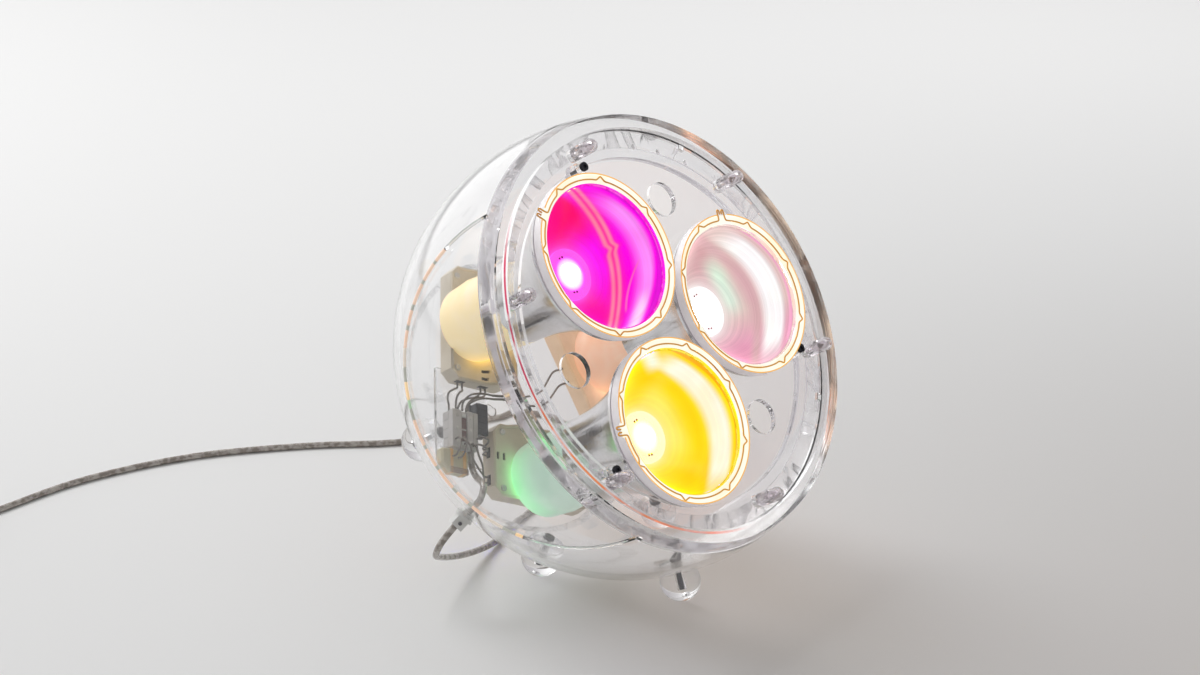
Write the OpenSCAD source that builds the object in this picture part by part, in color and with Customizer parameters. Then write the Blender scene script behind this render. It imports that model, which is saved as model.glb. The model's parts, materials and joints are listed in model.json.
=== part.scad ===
// Clear globe spotlight that stands on the floor: three spot lamps with colour filters
// behind a recessed clear plate, on ball feet, with a flexible cord.
// Lengths are in millimetres. The floor is z = 0 and the beam leaves towards -Y.
// The lamp frame has its origin at the middle of the globe and +Z along the beam.

/* [Globe] */
// Outer diameter of the globe
globe_d = 300; // [285:1:330]
// Thickness of the shell walls
globe_wall = 4; // [3:0.5:4.5]
// Distance of the front rim from the middle of the globe, along the beam
rim_plane = 48.5; // [46:0.5:52]
// Thickness of the rim outside the plate's counterbore
rim_wall = 8.7; // [8:0.1:9.5]
// Angle of the seam from the rear pole, in degrees
seam_angle = 41; // [39:0.5:46]
// Angle of the beam above the floor, in degrees
beam_elevation = 33.4; // [30:0.1:38]

/* [Front plate] */
// Thickness of the front plate
plate_t = 4; // [3:0.5:5]
// Depth of the plate's front face behind the rim
plate_recess = 6; // [5:0.5:8]
// Radial gap between the plate and its counterbore
plate_gap = 0.4; // [0.2:0.1:0.8]
// Width of the ledge that carries the plate
ledge_w = 16.8; // [15.6:0.2:17]
// Thickness of the ledge
ledge_t = 6; // [5:0.5:8]
// Width of the relieved strip along the ledge's inner edge
relief_w = 6; // [4:0.5:8]
// Depth of that relieved strip
relief_depth = 1; // [0.5:0.1:2]
// Diameter of the finger holes
finger_d = 22.9; // [18:0.1:26]
// Distance of the finger holes from the ledge's inner edge
finger_margin = 15.4; // [11:0.2:18]
// Width of the keys that stop the plate from turning
key_w = 4; // [3:0.5:6]
// Depth of those keys
key_depth = 3; // [2:0.5:4]
// Diameter of the small domed pips on the plate
pip_d = 3.6; // [2.4:0.2:4.4]
// Distance of the pips from the plate's edge
pip_inset = 10.8; // [7:0.2:14]

/* [Plate fastening] */
// Diameter of the clear domed pins
pin_d = 9; // [7:0.5:10]
// Height of the pins above the plate
pin_proud = 19.5; // [12:0.5:24]
// Distance of the pins' middles from the plate's edge
pin_inset = 8.3; // [7.4:0.1:9.2]
// Depth of the pin sockets in the ledge
pin_socket = 3; // [2:0.5:4]
// Radial play of the pins in their holes
pin_play = 0.05; // [0.02:0.01:0.1]
// Thread diameter of the plate screws
screw_d = 3; // [2.5:0.1:4]
// Diameter of the screw heads
screw_head_d = 6; // [5:0.2:7]
// Height of the screw heads
screw_head_t = 2; // [1.5:0.1:3]
// Distance of the plate screws inside the ledge's inner edge
screw_inset = 1; // [0.4:0.1:2]
// Depth of the screws below the plate
screw_depth = 8; // [6:0.5:12]
// Diameter of the bosses that take the screws
boss_d = 9; // [8:0.5:10]
// Radial play of the screws in their holes
screw_play = 0.05; // [0.02:0.01:0.1]

/* [Lamps] */
// Gap between neighbouring reflector rims
lamp_gap = 4.9; // [3:0.1:8]
// Distance of the reflector rims from the plate's edge
lamp_margin = 13.2; // [12.9:0.1:17]
// Height of the reflector rims above the plate
lamp_proud = 11.5; // [9:0.5:14]
// Height of the lip round a reflector rim
lip_h = 2; // [1.4:0.1:3]
// Thickness of that lip
lip_t = 0.8; // [0.6:0.1:1.2]
// Width of the gap in the lip for the ears of the wire ring
lip_notch_w = 9; // [8:0.5:12]
// Width of the flat rim round the reflector's bowl
rim_land = 7.7; // [7.2:0.1:9]
// Diameter of the reflector's neck
neck_d = 34; // [26:0.5:36]
// Depth of the reflector, from its rim to its neck
bowl_depth = 42; // [38:0.5:46]
// Thickness of the reflector's wall
bowl_wall = 1.8; // [1.4:0.1:2]
// Radial gap between the reflector's wall and the bell round it
bell_fit = 0.2; // [0.1:0.1:0.4]
// Width of the collar that rests on the plate
collar_w = 3.7; // [2.5:0.1:4.4]
// Thickness of that collar
collar_t = 2; // [1.5:0.1:3]
// Thickness of the bell's wall
bell_wall = 1.8; // [1.4:0.1:2]
// Radial gap between the bell and the plate
bell_gap = 0.3; // [0.2:0.1:0.5]
// Length of the flared part of the bell behind the plate
flare_l = 78.5; // [74:0.5:80]
// Diameter of the frosted cup at the bell
cup_front_d = 58; // [54:0.5:62]
// Diameter of the frosted cup at the holder
cup_rear_d = 52; // [48:0.5:54]
// Thickness of the cup's wall
cup_wall = 2; // [1.5:0.1:3]

/* [Lamp holders] */
// Length of a holder
holder_w = 80; // [76:0.5:80]
// Width of a holder
holder_h = 50; // [48:0.5:52]
// Distance of a holder's middle from the axis of its lamp
holder_shift = 8; // [6:0.5:10]
// Gap between a holder's corners and the globe's wall
holder_gap = 3.2; // [2:0.1:6]
// Thickness of a holder
holder_t = 12; // [10:0.5:13]
// Size of the cut corners of a holder
holder_corner = 6; // [4:0.5:8]
// Diameter of the post that carries the bulb
post_d = 22; // [18:0.5:26]
// Length of the slots in a holder
slot_l = 5; // [4:0.5:8]
// Width of those slots
slot_w = 2; // [1.6:0.2:2.6]

/* [Bulbs] */
// Diameter of the bulb's glass
bulb_d = 15; // [12:0.5:18]
// Length of the bulb in front of its post
bulb_l = 11; // [10:0.5:22]
// Depth of the post's end behind the reflector's neck
bulb_setback = 2; // [1:0.5:4]
// Thickness of the bright plate round the bulb
bulb_plate_t = 2; // [1.5:0.1:3]
// Radial gap round that plate and round the bulb
bulb_gap = 0.3; // [0.2:0.1:0.5]

/* [Colour filters] */
// Thickness of the filter glass
filter_t = 3; // [2:0.2:4]
// Width of the step that the filter glass rests on
filter_land = 1.2; // [0.8:0.1:1.6]
// Radial gap round the filter glass
filter_gap = 0.3; // [0.2:0.1:0.5]
// Diameter of the wire of the retaining ring
wire_d = 1.2; // [1:0.1:1.6]
// Number of kinks in the retaining ring
kinks = 8; // [6:1:12]
// Height of a kink
kink_h = 1.7; // [1:0.1:2]
// Height of the ring above its seat
ring_lift = 0.2; // [0.1:0.1:0.4]
// Reach of the ears past the rim
ear_reach = 3.2; // [2.4:0.2:5]

/* [Feet] */
// Diameter of the clear ball feet
foot_d = 27; // [24:0.5:30]
// Distance of a ball's middle outside the globe
foot_standoff = 7; // [5:0.5:9]
// Depth of the flat under each floor foot
foot_flat = 0.5; // [0.3:0.1:1]
// Angle of the floor feet from straight down, in degrees
foot_spread = 21; // [18:0.5:24]
// Turn of the first floor foot about the vertical, in degrees
foot_turn = -100; // [-105:1:-95]
// Angle of the rear feet from the rear pole, in degrees
rear_foot_spread = 27; // [24:0.5:30]
// Diameter of the threaded studs in the feet
stud_d = 4; // [3:0.5:5]
// Depth of the studs past the middle of a ball
stud_depth = 4; // [2:0.5:6]
// Radial play of the studs
stud_play = 0.05; // [0.02:0.01:0.1]
// Gap between curved faces that seat on the globe
seat_gap = 0.1; // [0.05:0.05:0.2]

/* [Electrics] */
// Gap between the bracket's corner and the globe's wall
bracket_gap = 1.5; // [1:0.1:4]
// Thickness of the clear bracket
bracket_t = 2.5; // [2:0.5:3]
// Height of the terminal block
block_h = 26; // [22:0.5:28]
// Height of the transformer
transformer_h = 16; // [13:0.5:18]
// Height of the relay
relay_h = 22.5; // [18:0.5:25]
// Diameter of the wires inside the globe
lead_d = 1.4; // [1.2:0.1:1.8]

/* [Cord] */
// Diameter of the cord
cord_d = 4.5; // [4:0.1:5]
// Diameter of the gland's flanges
gland_d = 13; // [11:0.5:15]
// Diameter of the gland where it passes the wall
gland_neck_d = 8.8; // [8:0.2:9.6]
// Thickness of the gland's inner nut
gland_nut_t = 5; // [4:0.5:7]
// Thickness of the gland's outer flange
gland_flange_t = 2; // [1.5:0.1:3]
// Length of the strain clamp outside the gland
clamp_l = 7; // [6:0.5:10]
// Radial play of the cord in its fittings
cord_play = 0.05; // [0.02:0.01:0.1]
// Turns in each layer of the put-away coil
coil_turns = 3; // [1:1:3]
// Outer radius of the coil's middle line
coil_r = 36; // [34:0.5:44]
// Gap between neighbouring turns
coil_gap = 1; // [0.6:0.1:1.6]

/* [Switch and plug] */
// Length of the switch in the cord
switch_l = 60; // [54:0.5:62]
// Width of the switch
switch_w = 24; // [22:0.5:28]
// Height of each half of the switch
switch_half_h = 8.5; // [7.5:0.1:10]
// Length of the rocker
rocker_l = 18; // [15:0.5:22]
// Width of the rocker
rocker_w = 10; // [8:0.5:12]
// Tilt of the rocker when the lamp is on, in degrees
rocker_tilt = 8; // [5:0.5:9]
// Gap round the rocker
rocker_gap = 0.6; // [0.5:0.1:1]
// Diameter of the rocker's pivot
pivot_d = 3; // [2.5:0.1:3.5]
// Radial play of the rocker's pivot
pivot_play = 0.05; // [0.02:0.01:0.1]
// Length of the plug body
plug_l = 35; // [30:0.5:40]
// Width of the plug body
plug_w = 35; // [32:0.5:38]
// Thickness of the plug body
plug_t = 14; // [12:0.5:16]
// Length of the plug's pins
plug_pin_l = 19; // [18:0.5:20]
// Diameter of the plug's pins
plug_pin_d = 4; // [3.6:0.1:4.8]
// Distance between the plug's pins
plug_pin_pitch = 19; // [18:0.2:20]

/* [Hidden] */
$fn = 72;
eps = 0.01;
over = 1;

clear = [0.88, 0.9, 0.93, 0.35];
silver = [0.82, 0.82, 0.84];
beige = [0.8, 0.74, 0.65];
dark = [0.16, 0.16, 0.18];
steel = [0.45, 0.45, 0.46];
filter_colors = [[0.95, 0.75, 0.8, 0.7], [1, 0, 0.75, 0.7], [1, 0.85, 0, 0.7]];
cup_colors = [[0.9, 0.7, 0.58], [0.96, 0.88, 0.67], [0.67, 0.8, 0.7]];

// Globe
globe_r = globe_d / 2;
globe_inner_r = globe_r - globe_wall;
seam_plane = -globe_r * cos(seam_angle);
rim_r = sqrt(globe_r * globe_r - rim_plane * rim_plane);
lamp_tip = 90 - beam_elevation;

// Planes along the beam
plate_front = rim_plane - plate_recess;
plate_rear = plate_front - plate_t;
ledge_rear = plate_rear - ledge_t;
lamp_front = plate_front + lamp_proud;
lip_seat = lamp_front - lip_h;
filter_seat = lip_seat - filter_t;
rim_rear = filter_seat - bowl_wall;
neck_plane = lamp_front - bowl_depth;
flare_end = plate_rear - flare_l;
post_end = neck_plane - bulb_setback;

// Plate and its fastening
counterbore_r = rim_r - rim_wall;
plate_r = counterbore_r - plate_gap;
ledge_r = plate_r - ledge_w;
pin_circle_r = plate_r - pin_inset;
screw_circle_r = ledge_r - screw_inset;
pip_circle_r = plate_r - pip_inset;
finger_circle_r = ledge_r - finger_margin - finger_d / 2;
pin_r = pin_d / 2;
pin_count = 6;
pin_turn = 35;
pin_tip = plate_front + pin_proud;
screw_turn = 95;
key_angles = [52, 232, 321];
pip_angles = [50, 61, 71];
finger_turn = 60;

// Lamps: three rims side by side, as large as the plate takes
lamp_spread = 1 / (2 * sin(60));
lamp_rim_r = (plate_r - lamp_margin - lamp_gap * lamp_spread) / (1 + 2 * lamp_spread);
lamp_circle_r = (2 * lamp_rim_r + lamp_gap) * lamp_spread;

// Reflectors: a parabola through the mouth and the neck, from the bowl's own depth
bowl_r = lamp_rim_r - rim_land;
neck_r = neck_d / 2;
bowl_len = filter_seat - neck_plane;
bowl_rate = (bowl_r * bowl_r - neck_r * neck_r) / bowl_len;
bowl_steps = 20;
flare_steps = 16;
bell_r = bowl_at(rim_rear) + bowl_wall + bell_fit + bell_wall;
collar_r = bell_r + collar_w;
filter_r = bowl_r + filter_land;
ear_turns = [77, 14, -72];
ring_r = lamp_rim_r - lip_t - kink_h - wire_d / 2 - ring_lift;

// Holders: as far back as the globe's wall lets their outer corners go
holder_turns = [0, 30, 0];
holder_corners = [
    [holder_h / 2 - holder_shift, holder_w / 2 - holder_corner],
    [holder_h / 2 - holder_shift - holder_corner, holder_w / 2]
];
holder_reach = max([
    for (turn = holder_turns, corner = holder_corners, side = [-1, 1])
        norm([lamp_circle_r, 0] + turned([corner.x, side * corner.y], turn))
]);
holder_rear = -sqrt(pow(globe_inner_r - holder_gap, 2) - holder_reach * holder_reach);
cup_end = holder_rear + holder_t;

// Feet
foot_r = foot_d / 2;
foot_reach = globe_r + foot_standoff;
globe_z = foot_reach * cos(foot_spread) + foot_r - foot_flat;
rear_foot_turn = 180;
stud_hole_r = stud_d / 2 + stud_play;
stud_head_r = stud_d;
stud_head_t = 3;

// Place of the globe over the floor, with the lamp's own box centred on the origin
front_reach = min([
    -rim_r * cos(lamp_tip) - rim_plane * sin(lamp_tip),
    for (k = [0 : pin_count - 1])
        pin_circle_r * sin(pin_turn + k * 360 / pin_count) * cos(lamp_tip)
            - (pin_tip - pin_r) * sin(lamp_tip) - pin_r
]);
rear_reach = max([
    globe_r,
    for (k = [0 : 2])
        foot_reach * sin(rear_foot_spread) * sin(rear_foot_turn + 120 * k) * cos(lamp_tip)
            + foot_reach * cos(rear_foot_spread) * sin(lamp_tip) + foot_r
]);
globe_y = -(front_reach + rear_reach) / 2;

// Electrics, in the lamp frame turned so that they stand square to the second and third holder
bench_turn = -30;
end_2_y = lamp_circle_r * sin(120 - bench_turn) - holder_w / 2;
end_3_x = -holder_w / 2;
wire_room = 21.7;
block_w = 21;
block_deep = 12;
block_gap = 12;
block_x = end_3_x - block_gap - block_w;
block_y = end_2_y - wire_room - block_h;
lead_gap = 0.3;
lead_in = 4;
relay_w = 10;
relay_deep = 9.6;
relay_x = block_x + block_w + lead_gap;
relay_rise = 12.5;
relay_y = block_y + relay_rise;
bracket_lap = [4, 9.3];
bracket_drop = 7;
bracket_y = [block_y - bracket_drop, end_2_y + bracket_lap.y];
bracket_x = [-wall_reach(bracket_gap, holder_rear - bracket_t, bracket_y[0]), end_3_x + bracket_lap.x];
transformer_foot = 3.6;
transformer_deep = 8;
transformer_corner = 6;
transformer_lap = 13;
transformer_drop = 2;
transformer_y = block_y - transformer_drop - transformer_h;
transformer_x = [
    -wall_reach(bracket_gap, holder_rear + transformer_foot, transformer_y + transformer_corner),
    block_x + transformer_lap
];
transformer_foot_w = 14;

// Cord
cord_r = cord_d / 2;
cord_hole_r = cord_r + cord_play;
cord_sides = 10;
gland_turn = 207;
gland_spread = 54;
gland_hole_r = gland_neck_d / 2 + cord_play;
gland_seat = sqrt(globe_inner_r * globe_inner_r - gland_d * gland_d / 4) - seat_gap;
gland_inner = gland_seat - gland_nut_t;
gland_outer = globe_r + seat_gap + gland_flange_t;
clamp_outer = gland_outer + clamp_l;
clamp_w = 8.5;
clamp_h = 7.5;
clamp_screw_d = 2.4;

// Switch, coil and plug, on the floor
floor_lift = 0.05;
cord_z = cord_r + floor_lift;
switch_mid = [-280, 362];
rocker_h = 7;
rocker_drop = 2.4;
rocker_mid_z = 2 * switch_half_h - 1;
wall_t = 2;
coil_lead = 45;
coil_mid = [switch_mid.x - switch_l / 2 - coil_lead, switch_mid.y + coil_r];
coil_pitch = cord_d + coil_gap;
coil_layer = cord_d + coil_gap;
coil_ring_count = 24;
coil_total = 2 * coil_turns + 0.5;
coil_tail = 60;
plug_z = plug_t / 2;

function unit(v) = v / norm(v);
function turned(p, a) = [p.x * cos(a) - p.y * sin(a), p.x * sin(a) + p.y * cos(a)];
// Distance in x, at a plane and a y, to a point with a gap from the globe's wall
function wall_reach(gap, plane, y) = sqrt(pow(globe_inner_r - gap, 2) - plane * plane - y * y);
function turn_x(p, a) = [p.x, p.y * cos(a) - p.z * sin(a), p.y * sin(a) + p.z * cos(a)];
function on_globe(turn, spread, reach) =
    reach * [sin(spread) * cos(turn), sin(spread) * sin(turn), -cos(spread)];
function sum(v, i = 0) = i < len(v) ? v[i] + sum(v, i + 1) : 0;
function path_length(p) = sum([for (i = [1 : len(p) - 1]) norm(p[i] - p[i - 1])]);

// Smooth curve through hand-chosen points
function blend_point(a, b, c, d, t) =
    (2 * b + (c - a) * t + (2 * a - 5 * b + 4 * c - d) * t * t
        + (3 * b - a - 3 * c + d) * t * t * t) / 2;
function smooth(p, steps) = [
    for (i = [0 : len(p) - 2], j = [0 : steps - 1])
        blend_point(p[max(i - 1, 0)], p[i], p[i + 1], p[min(i + 2, len(p) - 1)], j / steps),
    p[len(p) - 1]
];
function direction(p, i) = unit(p[min(i + 1, len(p) - 1)] - p[max(i - 1, 0)]);
function ring_points(p, i, r, sides, side_axis) =
    let (t = direction(p, i), s = unit(cross(t, side_axis)), u = cross(s, t))
    [for (k = [0 : sides - 1]) p[i] + r * (cos(360 * k / sides) * s + sin(360 * k / sides) * u)];

// Closed tube along a path; side_axis is never along the path
module tube(path, r, sides, side_axis = [0, 0, 1]) {
    last = len(path) - 1;
    points = [for (i = [0 : last]) each ring_points(path, i, r, sides, side_axis)];
    walls = [
        for (i = [0 : last - 1], k = [0 : sides - 1])
            let (a = i * sides + k, b = i * sides + (k + 1) % sides)
            each [[a, b, b + sides], [a, b + sides, a + sides]]
    ];
    near_cap = [for (k = [1 : sides - 2]) [0, k + 1, k]];
    far_cap = [for (k = [1 : sides - 2]) [0, k, k + 1] + last * sides * [1, 1, 1]];
    polyhedron(points, concat(walls, near_cap, far_cap));
}

// Route of the cord: out of its clamp, round to the floor, under the lamp and back to the left
gland_axis = unit(turn_x(on_globe(gland_turn, gland_spread, 1), lamp_tip));
gland_mid = [0, globe_y, globe_z];
cord_start = gland_mid + gland_inner * gland_axis;
cord_exit = gland_mid + clamp_outer * gland_axis;
cord_floor_points = [
    [-122, 29, 49], [-121, 35, 39], [-113, 41, 31], [-82, 52, 16], [-48, 61, 6],
    [-15, 69, cord_z], [40, 83, cord_z], [95, 105, cord_z], [132, 140, cord_z],
    [140, 172, cord_z], [122, 198, cord_z], [80, 215, cord_z], [40, 229, cord_z],
    [-10, 277, cord_z], [-75, 325, cord_z], [-150, 354, cord_z], [-215, 361, cord_z]
];
cord_end = [switch_mid.x + switch_l / 2, switch_mid.y, cord_z];
cord_points = concat(
    [cord_start, (cord_start + cord_exit) / 2, cord_exit],
    cord_floor_points,
    [cord_end + [2 * cord_d, 0, 0], cord_end]
);
cord_steps = 4;

// Put-away coil: spirals in on the floor, climbs a layer, spirals out and leaves for the plug
function coil_radius(u) = coil_r - coil_pitch * min(u, coil_total - u);
function coil_climb(u) =
    let (t = min(max((u - coil_turns) / 0.5, 0), 1)) coil_layer * t * t * (3 - 2 * t);
function coil_point(u) = [
    coil_mid.x + coil_radius(u) * cos(-90 - 360 * u),
    coil_mid.y + coil_radius(u) * sin(-90 - 360 * u),
    cord_z + coil_climb(u)
];
coil_start = [switch_mid.x - switch_l / 2, switch_mid.y, cord_z];
coil_turn_points = [for (i = [0 : coil_total * coil_ring_count]) coil_point(i / coil_ring_count)];
coil_last = coil_turn_points[len(coil_turn_points) - 1];
plug_x = coil_last.x + coil_tail;
coil_end = [plug_x, coil_last.y, plug_z];
coil_path = concat(
    [coil_start, coil_start - [cord_d, 0, 0]],
    coil_turn_points,
    smooth([coil_last + [10, 0, 0], coil_end - [16, 0, 0], coil_end - [cord_d, 0, 0]], 3),
    [coil_end]
);
function least_gap(p, apart) = min([
    for (i = [0 : len(p) - 1 - apart], j = [i + apart : len(p) - 1]) norm(p[i] - p[j])
]) - cord_d;
echo(coil_least_gap = least_gap(coil_turn_points, coil_ring_count / 2));
echo(cord_length = path_length(smooth(cord_points, cord_steps)), coil_length = path_length(coil_path));

// Wires inside the globe, in the turned frame, each square to the block and to what it feeds
holder_side = holder_w / 2 + lead_gap;
function by_block(x, y, z) = [block_x + x, block_y + y, holder_rear + z];
function above(x, y, z) = by_block(x, block_h + y, z);
function block_top(x, z) = [above(x, lead_gap, z), above(x, lead_gap + lead_in, z)];
function block_front(x, y) = [
    by_block(x, y, block_deep + lead_gap), by_block(x, y, block_deep + lead_gap + lead_in)
];
function holder_point(k, along, side) = let (
    a = 120 * (k - 1) - bench_turn,
    p = lamp_circle_r * [cos(a), sin(a)] + turned([along - holder_shift, side], a + holder_turns[k - 1])
) [p.x, p.y, cup_end - holder_t / 2];
function holder_edge(k, along, side) = [
    holder_point(k, along, side * (holder_side + lead_in)), holder_point(k, along, side * holder_side)
];
function holder_face(side) = [
    holder_point(1, -holder_h / 2 - lead_gap - 3 * lead_in, side),
    holder_point(1, -holder_h / 2 - lead_gap - lead_in, side),
    holder_point(1, -holder_h / 2 - lead_gap, side)
];
transformer_front = transformer_foot + transformer_deep + lead_gap;
function transformer_face(x, y) = [
    by_block(x, y, transformer_front + lead_in), by_block(x, y, transformer_front)
];
function to_holder_2(x, z, way, along) = concat(block_top(x, z), way, holder_edge(2, along, 1));
function to_holder_1(x, z, way, side) = concat(block_top(x, z), way, holder_face(side));
function to_holder_3(x, y, way, along) = concat(block_front(x, y), way, holder_edge(3, along, -1));
upper_routes = [
    to_holder_2(2, 5, [above(0.5, 8, 6), above(0.5, 12, 7.5), above(4.5, 15, 7.5)], 16),
    to_holder_2(6, 7.5, [above(5, 8.5, 10), above(6.5, 12, 11), above(10, 14.5, 9.5)], 12),
    to_holder_2(10.5, 3.5, [above(13, 9, 4), above(18, 12, 4.5), above(24, 14, 5)], -3),
    to_holder_2(15.5, 6, [above(16.5, 8, 8), above(20.5, 11.5, 9.5), above(27, 13.5, 9)], -7),
    to_holder_1(9.5, 10, [above(10.5, 8, 12), above(15, 11.5, 15), above(26, 13, 16.5),
        above(42, 12.5, 16), above(60, 18, 13), above(76, 28, 9)], 5),
    to_holder_1(14, 10, [above(15, 6.5, 13.5), above(20, 8.5, 18), above(31, 9, 20),
        above(46, 7.5, 19), above(64, 11, 15), above(80, 20.5, 10)], -5)
];
lower_routes = [
    to_holder_3(9, 2.5, [by_block(9.5, -1.5, 19), by_block(10.5, -8, 19), by_block(15, -14, 18.5),
        by_block(21.5, -17.5, 15.5), by_block(26, -18.4, 10)], 16),
    to_holder_3(13.5, 2.5, [by_block(14.2, -0.5, 18.6), by_block(16, -5.5, 18.4),
        by_block(20.5, -10.5, 16), by_block(25, -13.4, 10.5)], 12)
];
side_routes = [
    to_holder_3(16, 2.5, [by_block(17.5, 1.5, 19.3), by_block(21, 0, 20),
        by_block(24.4, -0.2, 16.5), by_block(26, 0.2, 11)], -3),
    to_holder_3(19.5, 8, [by_block(20.5, 7.4, 18.6), by_block(23.6, 6.4, 18.8),
        by_block(26, 5.6, 15), by_block(27, 5, 10.5)], -7)
];
near_routes = [
    concat(block_front(2, 5), [by_block(1.6, 2, 18.6), by_block(0.6, -3, 18.8)], transformer_face(0, -7)),
    concat(block_front(6, 5), [by_block(5.8, 2, 19), by_block(5, -3.5, 19.2)], transformer_face(4.5, -7.5))
];
supply_in = 5;
supply_x = 17.5;
supply_z = 7.6;
supply_route = [
    on_globe(gland_turn - bench_turn, gland_spread, gland_inner - lead_gap),
    on_globe(gland_turn - bench_turn, gland_spread, gland_inner - supply_in),
    by_block(supply_x - 1, -27, 22),
    by_block(supply_x, -18, 12.5),
    by_block(supply_x, -lead_gap - 2 * supply_in, supply_z + 0.6),
    by_block(supply_x, -lead_gap - supply_in, supply_z),
    by_block(supply_x, -lead_gap, supply_z)
];

module in_lamp() {
    translate([0, globe_y, globe_z]) rotate([lamp_tip, 0, 0]) children();
}

module at_lamp(k) {
    rotate(120 * (k - 1)) translate([lamp_circle_r, 0, 0]) children();
}

module in_bench() {
    in_lamp() rotate(bench_turn) children();
}

module along_globe(turn, spread) {
    rotate([0, 180 - spread, turn]) children();
}

module at_foot(k) {
    translate([0, globe_y, globe_z]) along_globe(foot_turn + 120 * (k - 1), foot_spread) children();
}

module at_rear_foot(k) {
    in_lamp() along_globe(rear_foot_turn + 120 * (k - 1), rear_foot_spread) children();
}

// Round bar between two planes along the beam
module bar(r, low, high) {
    translate([0, 0, low]) cylinder(r = r, h = high - low);
}

// Holes for every stud and for the cord's gland, in the floor frame
module shell_holes() {
    for (k = [1 : 3]) {
        at_foot(k) bar(stud_hole_r, globe_inner_r - over, globe_r + over);
        at_rear_foot(k) bar(stud_hole_r, globe_inner_r - over, globe_r + over);
    }
    in_lamp() along_globe(gland_turn, gland_spread)
        bar(gland_hole_r, globe_inner_r - over, globe_r + over);
}

module at_keys() {
    for (a = key_angles) rotate(a) translate([counterbore_r - key_depth, 0, 0]) children();
}

module at_pins() {
    for (k = [0 : pin_count - 1]) rotate(pin_turn + k * 360 / pin_count)
        translate([pin_circle_r, 0, 0]) children();
}

module at_screw(k) {
    rotate(screw_turn + 120 * (k - 1)) translate([screw_circle_r, 0, 0]) children();
}

module front_shell_body() {
    difference() {
        intersection() {
            sphere(globe_r);
            bar(globe_d, seam_plane, rim_plane);
        }
        intersection() {
            sphere(globe_inner_r);
            bar(globe_d, seam_plane - over, ledge_rear);
        }
        bar(ledge_r, ledge_rear - over, plate_rear + over);
        bar(ledge_r + relief_w, plate_rear - relief_depth, plate_rear + over);
        bar(counterbore_r, plate_rear, rim_plane + over);
    }
    for (k = [1 : 3]) at_screw(k)
        bar(boss_d / 2, plate_rear - screw_depth - globe_wall, plate_rear);
    at_keys() translate([0, -key_w / 2, plate_rear]) cube([key_depth + over, key_w, plate_t]);
}

module front_shell() {
    color(clear) difference() {
        in_lamp() difference() {
            front_shell_body();
            at_pins() bar(pin_r + pin_play, plate_rear - pin_socket, plate_rear + over);
            for (k = [1 : 3]) at_screw(k)
                bar(screw_d / 2 + screw_play, plate_rear - screw_depth - screw_play, plate_rear + over);
        }
        shell_holes();
    }
}

module rear_shell() {
    color(clear) difference() {
        in_lamp() difference() {
            intersection() {
                sphere(globe_r);
                bar(globe_d, -globe_d, seam_plane);
            }
            sphere(globe_inner_r);
        }
        shell_holes();
    }
}

module front_plate() {
    color(clear) in_lamp() {
        difference() {
            bar(plate_r, plate_rear, plate_front);
            for (k = [1 : 3]) {
                at_lamp(k) bar(bell_r + bell_gap, plate_rear - over, plate_front + over);
                rotate(finger_turn + 120 * k) translate([finger_circle_r, 0, 0])
                    bar(finger_d / 2, plate_rear - over, plate_front + over);
                at_screw(k) bar(screw_d / 2 + screw_play, plate_rear - over, plate_front + over);
            }
            at_pins() bar(pin_r + pin_play, plate_rear - over, plate_front + over);
            at_keys() translate([-plate_gap, -key_w / 2 - plate_gap, plate_rear - over])
                cube([key_depth + over, key_w + 2 * plate_gap, plate_t + 2 * over]);
        }
        for (a = pip_angles) rotate(a) translate([pip_circle_r, 0, plate_front]) sphere(d = pip_d);
    }
}

module plate_pins() {
    color(clear) in_lamp() at_pins() {
        bar(pin_r, plate_rear - pin_socket, pin_tip - pin_r);
        translate([0, 0, pin_tip - pin_r]) sphere(pin_r);
    }
}

module plate_screw(k) {
    color(dark) in_lamp() at_screw(k) difference() {
        union() {
            bar(screw_d / 2, plate_rear - screw_depth, plate_front + eps);
            bar(screw_head_d / 2, plate_front, plate_front + screw_head_t);
        }
        translate([0, 0, plate_front + screw_head_t / 2])
            cylinder(d = screw_head_d / 2, h = screw_head_t, $fn = 6);
    }
}

function bowl_at(z) = sqrt(neck_r * neck_r + bowl_rate * (z - neck_plane));

module reflector(k) {
    curve = [for (i = [0 : bowl_steps]) neck_plane + i * bowl_len / bowl_steps];
    seat_r = filter_r + filter_gap;
    rim = lamp_rim_r;
    color(silver) in_lamp() at_lamp(k) difference() {
        rotate_extrude() polygon(concat(
            [for (z = curve) [bowl_at(z), z]],
            [[seat_r, filter_seat], [seat_r, lip_seat], [rim - lip_t, lip_seat],
                [rim - lip_t, lamp_front], [rim, lamp_front], [rim, rim_rear],
                [bowl_at(rim_rear) + bowl_wall, rim_rear]],
            [for (i = [bowl_steps : -1 : 0])
                if (curve[i] < rim_rear - eps) [bowl_at(curve[i]) + bowl_wall, curve[i]]]
        ));
        rotate(ear_turns[k - 1]) translate([rim - lip_t - over, -lip_notch_w / 2, lip_seat])
            cube([lip_t + 2 * over, lip_notch_w, lip_h + over]);
    }
}

function flare_at(t) = cup_front_d / 2 + (bell_r - cup_front_d / 2) * t * t;

module bell(k) {
    outer = [for (i = [0 : flare_steps])
        [flare_at(i / flare_steps), flare_end + i * flare_l / flare_steps]];
    color(silver) in_lamp() at_lamp(k) rotate_extrude() polygon(concat(
        outer,
        [[bell_r, plate_front], [collar_r, plate_front], [collar_r, plate_front + collar_t],
            [bell_r, plate_front + collar_t], [bell_r, rim_rear], [bell_r - bell_wall, rim_rear]],
        [for (i = [flare_steps : -1 : 0]) outer[i] - [bell_wall, 0]]
    ));
}

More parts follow.
